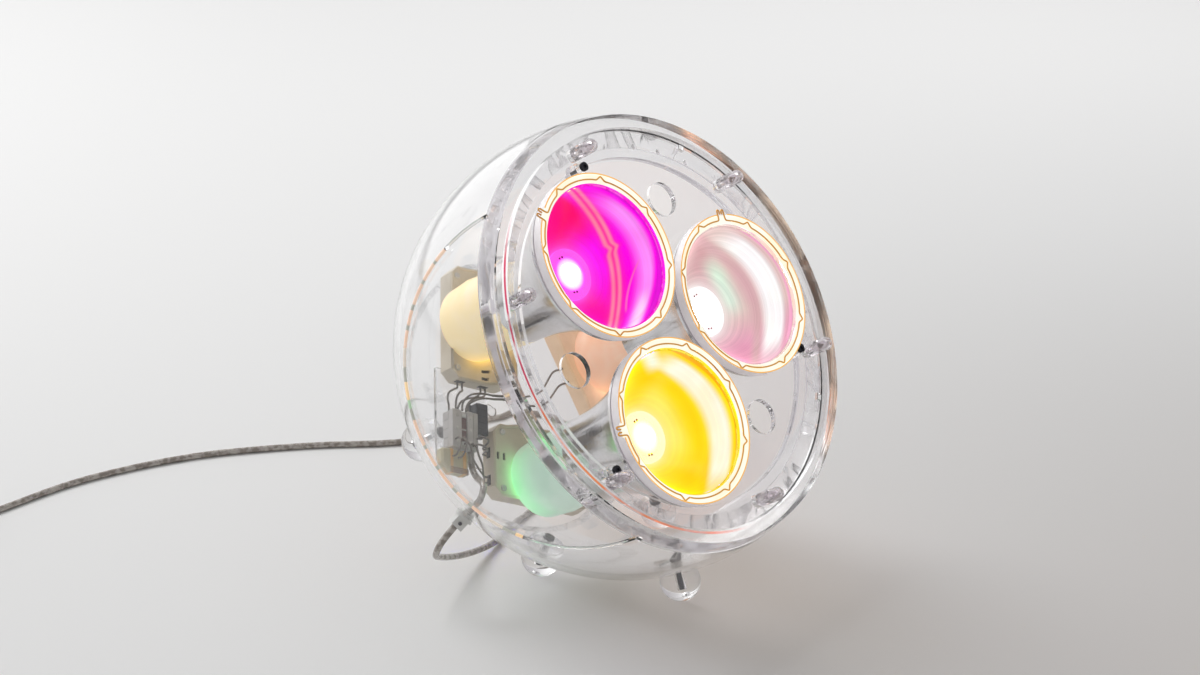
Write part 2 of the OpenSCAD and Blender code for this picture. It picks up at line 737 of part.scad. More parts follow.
module cup(k) {
    front = cup_front_d / 2;
    rear = cup_rear_d / 2;
    color(cup_colors[k - 1]) in_lamp() at_lamp(k) rotate_extrude() polygon([
        [rear - cup_wall, cup_end], [rear, cup_end], [front, flare_end], [front - cup_wall, flare_end]
    ]);
}

module holder(k) {
    x = holder_h / 2;
    y = holder_w / 2;
    c = holder_corner;
    slot_pitch = 2.5 * slot_w;
    color(beige) in_lamp() at_lamp(k) {
        rotate(holder_turns[k - 1]) translate([-holder_shift, 0, holder_rear]) difference() {
            linear_extrude(holder_t) polygon([
                [x - c, -y], [x, -y + c], [x, y - c], [x - c, y],
                [-x + c, y], [-x, y - c], [-x, -y + c], [-x + c, -y]
            ]);
            for (side = [-1, 1], step = [0, 1])
                translate([-slot_l / 2, side * (y - slot_pitch * (step + 0.7)), holder_t / 2])
                    cube([slot_l, slot_w, holder_t + over], center = true);
        }
        bar(post_d / 2, cup_end - eps, post_end);
    }
}

module bulb(k) {
    dome = post_end + bulb_l - bulb_d / 2;
    color([1, 0.98, 0.92]) in_lamp() at_lamp(k) intersection() {
        union() {
            bar(bulb_d / 2, post_end, dome);
            translate([0, 0, dome]) sphere(d = bulb_d);
        }
        bar(bulb_d, post_end, post_end + bulb_l + over);
    }
}

module bulb_plate(k) {
    low = neck_plane + bulb_gap;
    color(silver) in_lamp() at_lamp(k) difference() {
        bar(bowl_at(low) - bulb_gap, low, low + bulb_plate_t);
        bar(bulb_d / 2 + bulb_gap, low - over, low + bulb_plate_t + over);
    }
}

module filter(k) {
    color(filter_colors[k - 1]) in_lamp() at_lamp(k) bar(filter_r, filter_seat, lip_seat);
}

// One wire: an ear, a kinked turn round the rim and a second ear
ear_angle = 3.4;
kink_half = 4;
ear_tip = lamp_rim_r + ear_reach;
function polar(r, a) = [r * cos(a), r * sin(a), lip_seat + ring_lift + wire_d / 2];
ear_path = [
    [ear_tip - 3, 1], [ear_tip - 0.8, 1], [ear_tip, 1.9], [ear_tip - 0.8, 2.8], [ring_r + 1, ear_angle]
];
function kink_mid(i) = ear_angle + (i + 0.5) * (360 - 2 * ear_angle) / kinks;
kink_path = [
    for (i = [0 : kinks - 1], part = [-3, -2, -1, 0, 1, 2, 3])
        [part == 0 ? ring_r + kink_h : ring_r, kink_mid(i) + part * kink_half]
];
ring_path = concat(
    [for (p = ear_path) polar(p[0], p[1])],
    [for (p = kink_path) polar(p[0], p[1])],
    [for (i = [len(ear_path) - 1 : -1 : 0]) polar(ear_path[i][0], -ear_path[i][1])]
);

module filter_ring(k) {
    color([0.72, 0.5, 0.25]) in_lamp() at_lamp(k) rotate(ear_turns[k - 1])
        tube(ring_path, wire_d / 2, 6);
}

module ball_foot() {
    difference() {
        translate([0, 0, foot_reach]) sphere(foot_r);
        sphere(globe_r + seat_gap);
        bar(stud_hole_r, globe_r - over, foot_reach + stud_depth);
    }
}

module foot(k) {
    color(clear) difference() {
        at_foot(k) ball_foot();
        translate([-globe_d / 2, -globe_d / 2, -globe_d]) cube(globe_d);
    }
}

module rear_foot(k) {
    color(clear) at_rear_foot(k) ball_foot();
}

module stud() {
    head = globe_inner_r - seat_gap;
    bar(stud_d / 2, head - eps, foot_reach + stud_depth);
    bar(stud_head_r, head - stud_head_t, head);
}

module foot_studs() {
    color(steel) for (k = [1 : 3]) at_foot(k) stud();
}

module rear_foot_studs() {
    color(steel) for (k = [1 : 3]) at_rear_foot(k) stud();
}

// Box on the bracket, from its low corner
module on_bracket(x, y, size) {
    in_bench() translate([x, y, holder_rear]) cube(size);
}

module bracket() {
    color(clear) in_bench() translate([bracket_x[0], bracket_y[0], holder_rear - bracket_t])
        cube([bracket_x[1] - bracket_x[0], bracket_y[1] - bracket_y[0], bracket_t]);
}

module terminal_block() {
    color([0.65, 0.63, 0.61]) on_bracket(block_x, block_y, [block_w, block_h, block_deep]);
}

module relay() {
    color(dark) on_bracket(relay_x, relay_y, [relay_w, relay_h, relay_deep]);
}

// Winding with its outer corner cut for the globe's wall, on a foot
module transformer() {
    low = [transformer_x[0], transformer_y];
    high = low + [transformer_x[1] - transformer_x[0], transformer_h];
    color([0.7, 0.66, 0.49]) {
        in_bench() translate([0, 0, holder_rear + transformer_foot])
            linear_extrude(transformer_deep) polygon([
                low + [transformer_corner, 0], [high.x, low.y], high, [low.x, high.y],
                low + [0, transformer_corner]
            ]);
        on_bracket(high.x - transformer_foot_w, bracket_y[0],
            [transformer_foot_w, high.y - bracket_y[0], transformer_foot + eps]);
    }
}

module wires(routes, side_axis) {
    for (route = routes) tube(smooth(route, 4), lead_d / 2, 6, side_axis);
}

module wiring() {
    color([0.33, 0.31, 0.29]) in_bench() {
        wires(upper_routes, [0, -0.45, 0.89]);
        wires(lower_routes, [0.5, 0.7, 0.5]);
        wires(side_routes, [0, 1, 0]);
        wires(near_routes, [1, 0, 0]);
    }
}

module supply_lead() {
    color([0.5, 0.49, 0.47]) in_bench() tube(smooth(supply_route, 4), cord_r, 8, [1, 0, 0]);
}

module gland() {
    color([0.72, 0.72, 0.72]) in_lamp() along_globe(gland_turn, gland_spread) difference() {
        union() {
            bar(gland_d / 2, gland_inner, gland_seat);
            bar(gland_neck_d / 2, gland_inner, gland_outer);
            bar(gland_d / 2, gland_outer - gland_flange_t, gland_outer);
        }
        bar(cord_hole_r, gland_inner - over, gland_outer + over);
    }
}

module cord_clamp() {
    color(beige) in_lamp() along_globe(gland_turn, gland_spread) difference() {
        translate([-clamp_h / 2, -clamp_w / 2, gland_outer]) cube([clamp_h, clamp_w, clamp_l]);
        bar(cord_hole_r, gland_outer - over, clamp_outer + over);
    }
}

module clamp_screw() {
    color(steel) in_lamp() along_globe(gland_turn, gland_spread)
        translate([-clamp_h / 2, 0, gland_outer + clamp_l / 2]) rotate([0, -90, 0])
            cylinder(d = clamp_screw_d, h = clamp_screw_d / 2);
}

module cord() {
    color([0.5, 0.49, 0.47]) tube(smooth(cord_points, cord_steps), cord_r, cord_sides);
}

module cord_coil() {
    color([0.5, 0.49, 0.47]) tube(coil_path, cord_r, 6);
}

// Half of the switch's case, closed at the bottom
module switch_half() {
    difference() {
        translate([-switch_l / 2, -switch_w / 2, 0]) cube([switch_l, switch_w, switch_half_h]);
        translate([wall_t - switch_l / 2, wall_t - switch_w / 2, wall_t])
            cube([switch_l - 2 * wall_t, switch_w - 2 * wall_t, switch_half_h]);
    }
}

// Bar through the rocker's pivot, across the switch
module rocker_bar(r, half_w) {
    translate([0, half_w, rocker_mid_z]) rotate([90, 0, 0]) cylinder(r = r, h = 2 * half_w);
}

module at_switch() {
    translate([switch_mid.x, switch_mid.y, 0]) children();
}

module switch_base() {
    color(dark) at_switch() switch_half();
}

module switch_cover() {
    window = [rocker_l + 2 * rocker_gap, rocker_w + 2 * rocker_gap, 4 * wall_t];
    color(dark) at_switch() difference() {
        union() {
            translate([0, 0, 2 * switch_half_h]) mirror([0, 0, 1]) switch_half();
            translate([-pivot_d, -switch_w / 2 + wall_t - eps, 2 * switch_half_h - wall_t - pivot_d])
                cube([2 * pivot_d, switch_w - 2 * wall_t + 2 * eps, pivot_d + wall_t]);
        }
        translate([-window.x / 2, -window.y / 2, 2 * switch_half_h - window.z])
            cube([window.x, window.y, 2 * window.z]);
        rocker_bar(pivot_d / 2 + pivot_play, switch_w / 2 - wall_t);
    }
}

module rocker() {
    color([0.75, 0.75, 0.76]) at_switch() {
        translate([0, 0, rocker_mid_z]) rotate([0, rocker_tilt, 0])
            translate([-rocker_l / 2, -rocker_w / 2, -rocker_drop])
                cube([rocker_l, rocker_w, rocker_h]);
        rocker_bar(pivot_d / 2, rocker_w / 2 + pivot_d);
    }
}

module plug_body() {
    color(dark) translate([plug_x, coil_last.y, 0]) linear_extrude(plug_t) polygon([
        [0, -plug_w / 6], [plug_l / 2, -plug_w / 2], [plug_l, -plug_w / 2],
        [plug_l, plug_w / 2], [plug_l / 2, plug_w / 2], [0, plug_w / 6]
    ]);
}

module plug_pins() {
    color(silver) for (side = [-1, 1])
        translate([plug_x + plug_l, coil_last.y + side * plug_pin_pitch / 2, plug_z])
            rotate([0, 90, 0]) cylinder(d = plug_pin_d, h = plug_pin_l);
}

front_shell();
rear_shell();
front_plate();
plate_pins();
plate_screw(1);  // plate_screw_1
plate_screw(2);  // plate_screw_2
plate_screw(3);  // plate_screw_3
reflector(1);  // reflector_1
reflector(2);  // reflector_2
reflector(3);  // reflector_3
bell(1);  // bell_1
bell(2);  // bell_2
bell(3);  // bell_3
cup(1);  // cup_1
cup(2);  // cup_2
cup(3);  // cup_3
holder(1);  // holder_1
holder(2);  // holder_2
holder(3);  // holder_3
bulb(1);  // bulb_1
bulb(2);  // bulb_2
bulb(3);  // bulb_3
bulb_plate(1);  // bulb_plate_1
bulb_plate(2);  // bulb_plate_2
bulb_plate(3);  // bulb_plate_3
filter(1);  // filter_1
filter(2);  // filter_2
filter(3);  // filter_3
filter_ring(1);  // filter_ring_1
filter_ring(2);  // filter_ring_2
filter_ring(3);  // filter_ring_3
foot(1);  // foot_1
foot(2);  // foot_2
foot(3);  // foot_3
foot_studs();
rear_foot(1);  // rear_foot_1
rear_foot(2);  // rear_foot_2
rear_foot(3);  // rear_foot_3
rear_foot_studs();
bracket();
terminal_block();
relay();
transformer();
wiring();
supply_lead();
gland();
cord_clamp();
clamp_screw();
cord();
switch_base();
switch_cover();
rocker();
cord_coil();
plug_body();
plug_pins();
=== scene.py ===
"""Looks of a clear globe lamp: three coloured spot lamps behind a clear plate, on ball feet.

Everything is in metres in the frame of the solids: the floor is z = 0 and the beam leaves
towards -Y. Sizes in the classes below are in millimetres, as the solids have them.
"""
import itertools
import json
import logging
import math
from dataclasses import dataclass
from enum import Enum
from typing import Any, Iterable, Optional, Sequence, Union

import bmesh
import bpy
from mathutils import Matrix, Vector

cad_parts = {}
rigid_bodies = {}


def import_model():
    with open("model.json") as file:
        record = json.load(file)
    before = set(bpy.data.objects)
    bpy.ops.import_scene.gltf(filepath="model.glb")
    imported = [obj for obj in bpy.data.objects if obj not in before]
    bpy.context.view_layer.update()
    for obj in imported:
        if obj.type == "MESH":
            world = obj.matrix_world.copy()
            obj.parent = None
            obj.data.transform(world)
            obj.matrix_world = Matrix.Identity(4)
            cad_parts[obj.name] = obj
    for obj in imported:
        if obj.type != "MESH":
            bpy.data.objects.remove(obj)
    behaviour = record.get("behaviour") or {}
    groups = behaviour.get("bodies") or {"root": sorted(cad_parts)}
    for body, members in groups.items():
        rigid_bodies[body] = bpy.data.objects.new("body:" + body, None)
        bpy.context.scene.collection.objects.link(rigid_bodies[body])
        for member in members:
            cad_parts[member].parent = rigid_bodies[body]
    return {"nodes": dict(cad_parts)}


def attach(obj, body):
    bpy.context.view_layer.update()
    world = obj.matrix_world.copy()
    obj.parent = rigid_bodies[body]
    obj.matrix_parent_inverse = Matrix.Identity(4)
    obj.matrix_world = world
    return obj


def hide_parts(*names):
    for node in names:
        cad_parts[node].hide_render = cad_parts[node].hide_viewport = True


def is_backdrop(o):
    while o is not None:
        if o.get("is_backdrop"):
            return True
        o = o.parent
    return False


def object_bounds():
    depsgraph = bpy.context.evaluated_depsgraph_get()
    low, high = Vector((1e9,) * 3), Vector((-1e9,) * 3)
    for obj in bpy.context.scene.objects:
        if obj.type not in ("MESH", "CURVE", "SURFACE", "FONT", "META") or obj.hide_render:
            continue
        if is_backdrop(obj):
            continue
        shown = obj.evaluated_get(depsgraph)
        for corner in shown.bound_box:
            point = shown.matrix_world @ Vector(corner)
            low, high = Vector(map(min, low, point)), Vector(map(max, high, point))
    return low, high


for leftover in list(bpy.data.objects):
    bpy.data.objects.remove(leftover)
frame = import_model()
CAD_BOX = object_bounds()

log = logging.getLogger("globe_lamp")
MM = 0.001
Colour = tuple[float, float, float]
Point = Sequence[float]
ACROSS_BOWL = 0.7071
LAMPS = (1, 2, 3)


def screen(red: float, green: float, blue: float) -> Colour:
    """Turns a colour of 0 to 255, as a screen shows it, into linear light.

    Args:
        red: red, 0 to 255.
        green: green, 0 to 255.
        blue: blue, 0 to 255.

    Returns:
        The colour in linear light.
    """
    def linear(value: float) -> float:
        """One channel."""
        share = value / 255
        return share / 12.92 if share <= 0.04045 else ((share + 0.055) / 1.055) ** 2.4
    return linear(red), linear(green), linear(blue)


def behind(glass: Colour, red: float, green: float, blue: float) -> Colour:
    """Light that looks like a screen colour once it has passed a colour glass."""
    return tuple(light / tint for light, tint in zip(screen(red, green, blue), glass))


class LampColour(Enum):
    """The three spot lamps, by their filter."""
    PINK = 1
    MAGENTA = 2
    YELLOW = 3


@dataclass(frozen=True)
class Layout:
    """Places that several sub-assemblies share."""
    globe_mid: Point = (0.0, -21.7318, 159.5721)
    lamp_tip: float = 56.6
    globe_r: float = 150.0
    rim_plane: float = 48.5
    plate_front: float = 42.5
    lamp_circle_r: float = 65.429
    cup_end: float = -90.5412
    holder_rear: float = -102.5412
    holder_half: Point = (25.0, 40.0)
    holder_shift: float = 8.0
    bench_turn: float = -30.0
    gland_turn: float = 207.0
    gland_spread: float = 54.0
    gland_inner: float = 140.755

    def globe(self) -> Matrix:
        """Frame at the middle of the globe, level with the floor, in millimetres."""
        return Matrix.Translation(self.globe_mid)

    def beam(self) -> Matrix:
        """Frame at the middle of the globe with +Z along the beam."""
        return self.globe() @ Matrix.Rotation(math.radians(self.lamp_tip), 4, "X")

    def lamp(self, number: int) -> Matrix:
        """Frame on the axis of one spot lamp, with +X away from the middle of the plate."""
        turn = Matrix.Rotation(math.radians(120 * (number - 1)), 4, "Z")
        return self.beam() @ turn @ Matrix.Translation((self.lamp_circle_r, 0, 0))

    def level_lamp(self, number: int) -> Matrix:
        """Frame on the axis of one spot lamp, with its axes along those of the beam frame.

        Args:
            number: number of the spot lamp.

        Returns:
            The frame.
        """
        angle = math.radians(120 * (number - 1))
        shift = (self.lamp_circle_r * math.cos(angle), self.lamp_circle_r * math.sin(angle), 0)
        return self.beam() @ Matrix.Translation(shift)

    def holder(self, number: int) -> Matrix:
        """Frame at the middle of one holder, with +Y along its length."""
        turn = Matrix.Rotation(math.radians(30 if number == LampColour.MAGENTA.value else 0), 4, "Z")
        return self.lamp(number) @ turn @ Matrix.Translation((-self.holder_shift, 0, 0))

    def bench(self) -> Matrix:
        """Frame of the electrics: the beam frame turned until they stand upright in it."""
        return self.beam() @ Matrix.Rotation(math.radians(self.bench_turn), 4, "Z")

    @staticmethod
    def outward(turn: float, spread: float) -> Matrix:
        """Rotation whose +Z leaves the globe at a turn and a spread from the rear pole."""
        return (Matrix.Rotation(math.radians(turn), 4, "Z")
                @ Matrix.Rotation(math.radians(180 - spread), 4, "Y"))


LAYOUT = Layout()


class Signal:
    """A shader socket that takes part in Python expressions."""

    def __init__(self, recipe: "Recipe", socket: bpy.types.NodeSocket) -> None:
        """Keeps the socket and the recipe that it belongs to."""
        self.recipe = recipe
        self.socket = socket

    def __add__(self, other: "Value") -> "Signal":
        """Sum."""
        return self.recipe.combine("ADD", self, other)

    __radd__ = __add__

    def __sub__(self, other: "Value") -> "Signal":
        """Difference."""
        return self.recipe.combine("SUBTRACT", self, other)

    def __rsub__(self, other: "Value") -> "Signal":
        """Difference with the signal on the right."""
        return self.recipe.combine("SUBTRACT", other, self)

    def __mul__(self, other: "Value") -> "Signal":
        """Product."""
        return self.recipe.combine("MULTIPLY", self, other)

    __rmul__ = __mul__

    def __truediv__(self, other: "Value") -> "Signal":
        """Quotient."""
        return self.recipe.combine("DIVIDE", self, other)

    def __rtruediv__(self, other: "Value") -> "Signal":
        """Quotient with the signal below."""
        return self.recipe.combine("DIVIDE", other, self)

    def __abs__(self) -> "Signal":
        """Size without sign."""
        return self.recipe.maths("ABSOLUTE", self)

    def over(self, limit: "Value") -> "Signal":
        """1 where the signal is above a limit, otherwise 0."""
        return self.recipe.combine("GREATER_THAN", self, limit)

    def rise(self, low: float, high: float) -> "Signal":
        """Smooth step from 0 at low to 1 at high.

        Args:
            low: lower limit or corner.
            high: upper limit or corner.

        Returns:
            The step.
        """
        return self.recipe.node(
            "ShaderNodeMapRange", {"interpolation_type": "SMOOTHSTEP"},
            {"Value": self, "From Min": low, "From Max": high}, "Result")

    def hump(self, middle: float, width: float) -> "Signal":
        """Bell curve of height 1 round a middle value."""
        step = (self - middle) / width
        return self.recipe.maths("EXPONENT", step * step * -1)

    def fade(self, length: float) -> "Signal":
        """Exponential fall from 1 with that length."""
        return self.recipe.maths("EXPONENT", self * (-1 / length))

    def dot(self, axis: Point) -> "Signal":
        """Part of a vector along an axis."""
        return self.recipe.node("ShaderNodeVectorMath", {"operation": "DOT_PRODUCT"},
                                {0: self, 1: tuple(axis)}, "Value")


Value = Union[float, Colour, Signal]


class Recipe:
    """Nodes of one material or of the world."""

    def __init__(self, tree: bpy.types.NodeTree, output: str) -> None:
        """Empties the tree and gives it its output node.

        Args:
            tree: node tree to fill.
            output: type of the output node.
        """
        self.tree = tree
        tree.nodes.clear()
        self.output = tree.nodes.new(output)

    def node(self, kind: str, settings: Optional[dict[str, Any]] = None,
             sockets: Optional[dict[Union[str, int], Value]] = None,
             out: Union[str, int] = 0) -> Signal:
        """Adds a node.

        Args:
            kind: the node's type.
            settings: properties, set first.
            sockets: values or links by identifier, name or index.
            out: identifier, name or index of the socket that is wanted.

        Returns:
            The wanted output.
        """
        made = self.tree.nodes.new(kind)
        for key, value in (settings or {}).items():
            setattr(made, key, value)
        for key, value in (sockets or {}).items():
            self._feed(self._find(made.inputs, key), value)
        return Signal(self, self._find(made.outputs, out))

    @staticmethod
    def _find(sockets: Sequence[bpy.types.NodeSocket],
              key: Union[str, int]) -> bpy.types.NodeSocket:
        """Finds a socket by index, identifier or name.

        Args:
            sockets: inputs or outputs of a node.
            key: index, identifier or name.

        Returns:
            The socket.
        """
        if isinstance(key, int):
            return sockets[key]
        exact = [s for s in sockets if s.identifier == key]
        return exact[0] if exact else sockets[key]

    def _feed(self, socket: bpy.types.NodeSocket, value: Value) -> None:
        """Links a signal to a socket, or sets the socket's own value.

        Args:
            socket: input to feed.
            value: signal, number or colour.
        """
        if isinstance(value, Signal):
            self.tree.links.new(value.socket, socket)
        elif socket.type == "RGBA":
            socket.default_value = (*value, 1) if isinstance(value, tuple) else (value, value, value, 1)
        elif socket.type == "VECTOR" and not isinstance(value, tuple):
            socket.default_value = (value, value, value)
        else:
            socket.default_value = value

    def maths(self, operation: str, first: Value, second: Value = 0.0) -> Signal:
        """Adds a Math node."""
        return self.node("ShaderNodeMath", {"operation": operation}, {0: first, 1: second})

    def combine(self, operation: str, first: Value, second: Value) -> Signal:
        """Joins two values, at least one of them a signal, by the kind of the signals.

        Args:
            operation: name of the operation, as Math nodes have it.
            first: left value.
            second: right value.

        Returns:
            The joined signal.
        """
        kinds = {s.socket.type for s in (first, second) if isinstance(s, Signal)}
        if "RGBA" in kinds or isinstance(first, tuple) or isinstance(second, tuple):
            if "VECTOR" not in kinds:
                return self.node("ShaderNodeMix", {"data_type": "RGBA", "blend_type": operation},
                                 {"Factor_Float": 1.0, "A_Color": first, "B_Color": second},
                                 "Result_Color")
        if "VECTOR" in kinds:
            return self.node("ShaderNodeVectorMath", {"operation": operation}, {0: first, 1: second})
        return self.maths(operation, first, second)

    def mix(self, share: Value, first: Value, second: Value) -> Signal:
        """Goes from a first colour to a second one with share."""
        return self.node("ShaderNodeMix", {"data_type": "RGBA"},
                         {"Factor_Float": share, "A_Color": first, "B_Color": second}, "Result_Color")

    def here(self) -> Signal:
        """Place on the piece at rest, in metres in the part's frame."""
        return self.node("ShaderNodeTexCoord", out="Object")

    def along(self, axes: Matrix) -> tuple[Signal, Signal, Signal]:
        """Distances in millimetres along the axes of a frame given in millimetres."""
        offset = self.here() - tuple(axes.translation * MM)
        return tuple(offset.dot(axes.col[i].to_3d() / MM) for i in range(3))

    def off_axis(self, x: Signal, y: Signal) -> Signal:
        """Distance from the axis of a frame."""
        return self.maths("SQRT", x * x + y * y)

    def noise(self, scale: float, detail: float = 2.0) -> Signal:
        """Cloudy noise from 0 to 1, with scale in features per metre."""
        return self.node("ShaderNodeTexNoise", {"noise_dimensions": "3D"},
                         {"Vector": self.here(), "Scale": scale, "Detail": detail}, 0)

    def streaks(self, along: Signal, scale: float) -> Signal:
        """Fine lines across a distance, as a spinning tool or brush leaves them."""
        return self.node("ShaderNodeTexNoise", {"noise_dimensions": "1D"},
                         {"W": along, "Scale": scale, "Detail": 3.0}, 0)

    def bump(self, height: Signal, strength: float, depth: float) -> Signal:
        """Bumps of a depth in millimetres for a height from 0 to 1."""
        return self.node("ShaderNodeBump", None,
                         {"Height": height, "Strength": strength, "Distance": depth * MM})

    def surface(self, **sockets: Value) -> Signal:
        """Principled shader; spaces in socket names are written as underscores."""
        named = {key.replace("_", " "): value for key, value in sockets.items()}
        return self.node("ShaderNodeBsdfPrincipled", None, named)

    def clear_to_lamps(self, shader: Signal, tint: Colour) -> Signal:
        """Lets lamp light through a clear shader, so that what is inside is lit.

        Args:
            shader: the clear shader.
            tint: colour of the light that passes.

        Returns:
            The mixed shader.
        """
        path = "ShaderNodeLightPath"
        passing = self.maths("MAXIMUM", self.node(path, out="Is Shadow Ray"),
                             self.node(path, out="Is Diffuse Ray"))
        through = self.node("ShaderNodeBsdfTransparent", None, {"Color": tint})
        return self.node("ShaderNodeMixShader", None, {0: passing, 1: shader, 2: through})

    def finish(self, surface: Signal) -> None:
        """Links a shader to the output."""
        self.tree.links.new(surface.socket, self.output.inputs["Surface"])


@dataclass(frozen=True)
class Finish:
    """A surface finish with a name."""
    name: str

    def paint(self, recipe: Recipe) -> Signal:
        """Makes the shader."""
        raise NotImplementedError

    def material(self) -> bpy.types.Material:
        """Makes the material, or finds it if it was made before.

        Returns:
            The material.
        """
        title = "finish_" + self.name
        found = bpy.data.materials.get(title)
        if found is None:
            found = bpy.data.materials.new(title)
            found.use_nodes = True
            recipe = Recipe(found.node_tree, "ShaderNodeOutputMaterial")
            recipe.finish(self.paint(recipe))
        return found


@dataclass(frozen=True)
class ClearPlastic(Finish):
    """Clear polished plastic with faint waves and handling haze."""
    tint: Colour = (0.998, 0.998, 1.0)
    shade: Colour = (0.98, 0.98, 0.985)
    roughness: float = 0.015
    # Strength of a painted dark outline: painted shade at grazing angles.
    outline: float = 0.0

    def caught(self, recipe: Recipe, clear: Signal) -> dict[str, Value]:
        """Sockets for the plastic's colour and any painted light along an edge."""
        return {"Base_Color": clear}

    def paint(self, recipe: Recipe) -> Signal:
        """Glass-like shader; lamps shine through it.

        Args:
            recipe: nodes of the material.

        Returns:
            The shader.
        """
        waves = recipe.noise(16.0, 1.0)
        haze = recipe.noise(140.0, 3.0)
        clear = recipe.mix(waves.rise(0.4, 0.7), self.tint, self.shade)
        # Painted shade: the colour darkens towards grazing angles, giving a painted dark outline.
        if self.outline:
            facing = recipe.node("ShaderNodeLayerWeight", None, {"Blend": 0.5}, "Facing")
            clear = clear * (1 - facing * facing * self.outline)
        shader = recipe.surface(
            Roughness=haze.rise(0.45, 0.8) * 0.03 + self.roughness,
            IOR=1.49, Transmission_Weight=1.0,
            Normal=recipe.bump(waves, 0.12, 0.5), **self.caught(recipe, clear))
        return recipe.clear_to_lamps(shader, (0.96, 0.96, 0.97))


@dataclass(frozen=True)
class RimPlastic(ClearPlastic):
    """Clear plastic whose front rim carries a painted coloured line of light on the lamps' side."""
    line_r: float = 135.4
    line_half: float = 0.75
    line_depth: float = 0.4

    def caught(self, recipe: Recipe, clear: Signal) -> dict[str, Value]:
        """Painted line of light on the rim's front face: red at the left, orange below it, salmon at the
        bottom.

        Args:
            recipe: nodes of the material.
            clear: colour of the plain plastic.

        Returns:
            Values by socket name.
        """
        x, y, z = recipe.along(LAYOUT.beam())
        around = recipe.maths("ARCTAN2", y, 0 - x)
        reach = recipe.off_axis(x, y)
        line = recipe.maths("LESS_THAN", abs(reach - self.line_r), self.line_half)
        line = line * z.over(LAYOUT.rim_plane - self.line_depth)
        # Painted light: the lamps' coloured glow along the rim, set in both the base colour and the emission.
        colour = recipe.mix(around.rise(0.1, -0.25), screen(196, 66, 96), screen(238, 134, 66))
        colour = recipe.mix(around.rise(-0.7, -1.1), colour, screen(240, 160, 140))
        ends = around.rise(0.95, 0.6) * around.rise(-1.5, -1.2)
        patches = recipe.noise(60.0).rise(0.3, 0.5) * 0.4 + 0.6
        share = line * ends * patches
        return {"Base_Color": recipe.mix(share, clear, colour * colour),
                "Emission_Color": colour * (share * 0.3), "Emission_Strength": 1.0}


@dataclass(frozen=True)
class Touch:
    """A soft arc or patch of painted light in a bowl, in millimetres.

    Its middle line lies at place - bend * (height - turn) ** 2 across the bowl.
    """
    colour: Colour
    place: float
    before: float
    after: float
    bend: float = 0.0095
    turn: float = 0.0
    heights: Point = (-90.0, -89.0, 89.0, 90.0)
    soft: float = 1.0
    weight: float = 1.0
    kink: float = 0.0
    kink_place: float = 4.5
    kink_width: float = 2.2

    def share(self, across: Signal, height: Signal) -> Signal:
        """How much of the touch there is at a place.

        Args:
            across: distance across the bowl.
            height: distance up the bowl.

        Returns:
            A share from 0 to 1.
        """
        arc = across + (height - self.turn) * (height - self.turn) * self.bend - self.place
        if self.kink:
            arc = arc - height.hump(self.kink_place, self.kink_width) * self.kink
        core = 1 - self.soft
        first, second, third, last = self.heights
        return (arc.rise(-self.before, -self.before * core) * arc.rise(self.after, self.after * core)
                * height.rise(first, second) * height.rise(last, third) * self.weight)


@dataclass(frozen=True)
class SpunBowl(Finish):
    """Inside of a reflector: spun metal with the bulb's light painted on as glow, and a painted glow on its
    rim land.

    Colours are those of a screen, as they look through the lamp's colour glass.
    """
    lamp: LampColour = LampColour.PINK
    glass: Colour = (1.0, 1.0, 1.0)
    painted_ground_glow: Colour = (255.0, 255.0, 255.0)
    halo: Colour = (255.0, 255.0, 255.0)
    touches: tuple[Touch, ...] = ()
    spin: float = 1.0
    floor_z: float = 12.0
    bulb_glow_r: float = 16.0
    bowl_slope: float = 50.66
    bowl_foot: float = 319.0
    land: Point = (46.9, 47.1, 53.9, 54.0)
    land_z: Point = (48.2, 48.6)
    edge_r: Point = (53.2, 53.45)
    edge_z: Point = (53.7, 53.9)

    def paint(self, recipe: Recipe) -> Signal:
        """Metal with spun lines, and painted light: the glow that the bowl throws back and forth, with
        painted highlights and reflections.

        Args:
            recipe: nodes of the material.

        Returns:
            The shader.
        """
        x, y, z = recipe.along(LAYOUT.level_lamp(self.lamp.value))
        reach = recipe.off_axis(x, y)
        above = z - self.floor_z
        bulb = recipe.maths("SQRT", x * x + y * y + above * above)
        lines = recipe.streaks(reach, 2.2)
        rings = recipe.streaks(reach, 0.6)
        cloud = recipe.noise(45.0, 2.0)
        across = (x + z) * ACROSS_BOWL
        # Painted light: a ground glow, then the touches' painted highlights and reflections, then a painted
        # halo round the bulb.
        light = recipe.mix(1.0, (0.0, 0.0, 0.0), behind(self.glass, *self.painted_ground_glow))
        for touch in self.touches:
            light = recipe.mix(touch.share(across, y), light, behind(self.glass, *touch.colour))
        light = light * ((lines * 0.26 + rings * 0.3 - 0.28) * self.spin + cloud * 0.16 + 0.92)
        light = recipe.mix((bulb - self.bulb_glow_r).fade(4.0) * 0.9, light, behind(self.glass, *self.halo))
        inside = recipe.maths("LESS_THAN", reach * reach - above * self.bowl_slope, self.bowl_foot)
        start, full, fall, end = self.land
        land = reach.rise(start, full) * reach.rise(end, fall) * z.rise(*self.land_z)
        lit = recipe.maths("MAXIMUM", inside, land)
        edge = reach.rise(*self.edge_r) * z.rise(*self.edge_z)
        # Painted glow on the rim land, a painted grey glow on the reflector's outside, and a painted gold
        # glow on the rim's outer edge.
        cream = recipe.mix(cloud.rise(0.35, 0.7), screen(255, 248, 220), screen(255, 254, 242))
        glow = recipe.mix(land, light * inside, cream)
        glow = recipe.mix(edge, recipe.mix(lit, screen(132, 126, 130), glow), screen(226, 176, 98))
        # Near-black metal under the painted light, so that the painted glow alone shows there.
        metal = recipe.mix(lit, (0.82, 0.81, 0.8), (0.05, 0.05, 0.05))
        return recipe.surface(
            Base_Color=recipe.mix(edge, metal, screen(150, 92, 44)),
            Metallic=0.9, Roughness=lines * 0.16 - lit * 0.35 + 0.47,
            Normal=recipe.bump(lines, 0.25, 0.12),
            Emission_Color=glow, Emission_Strength=1.0)


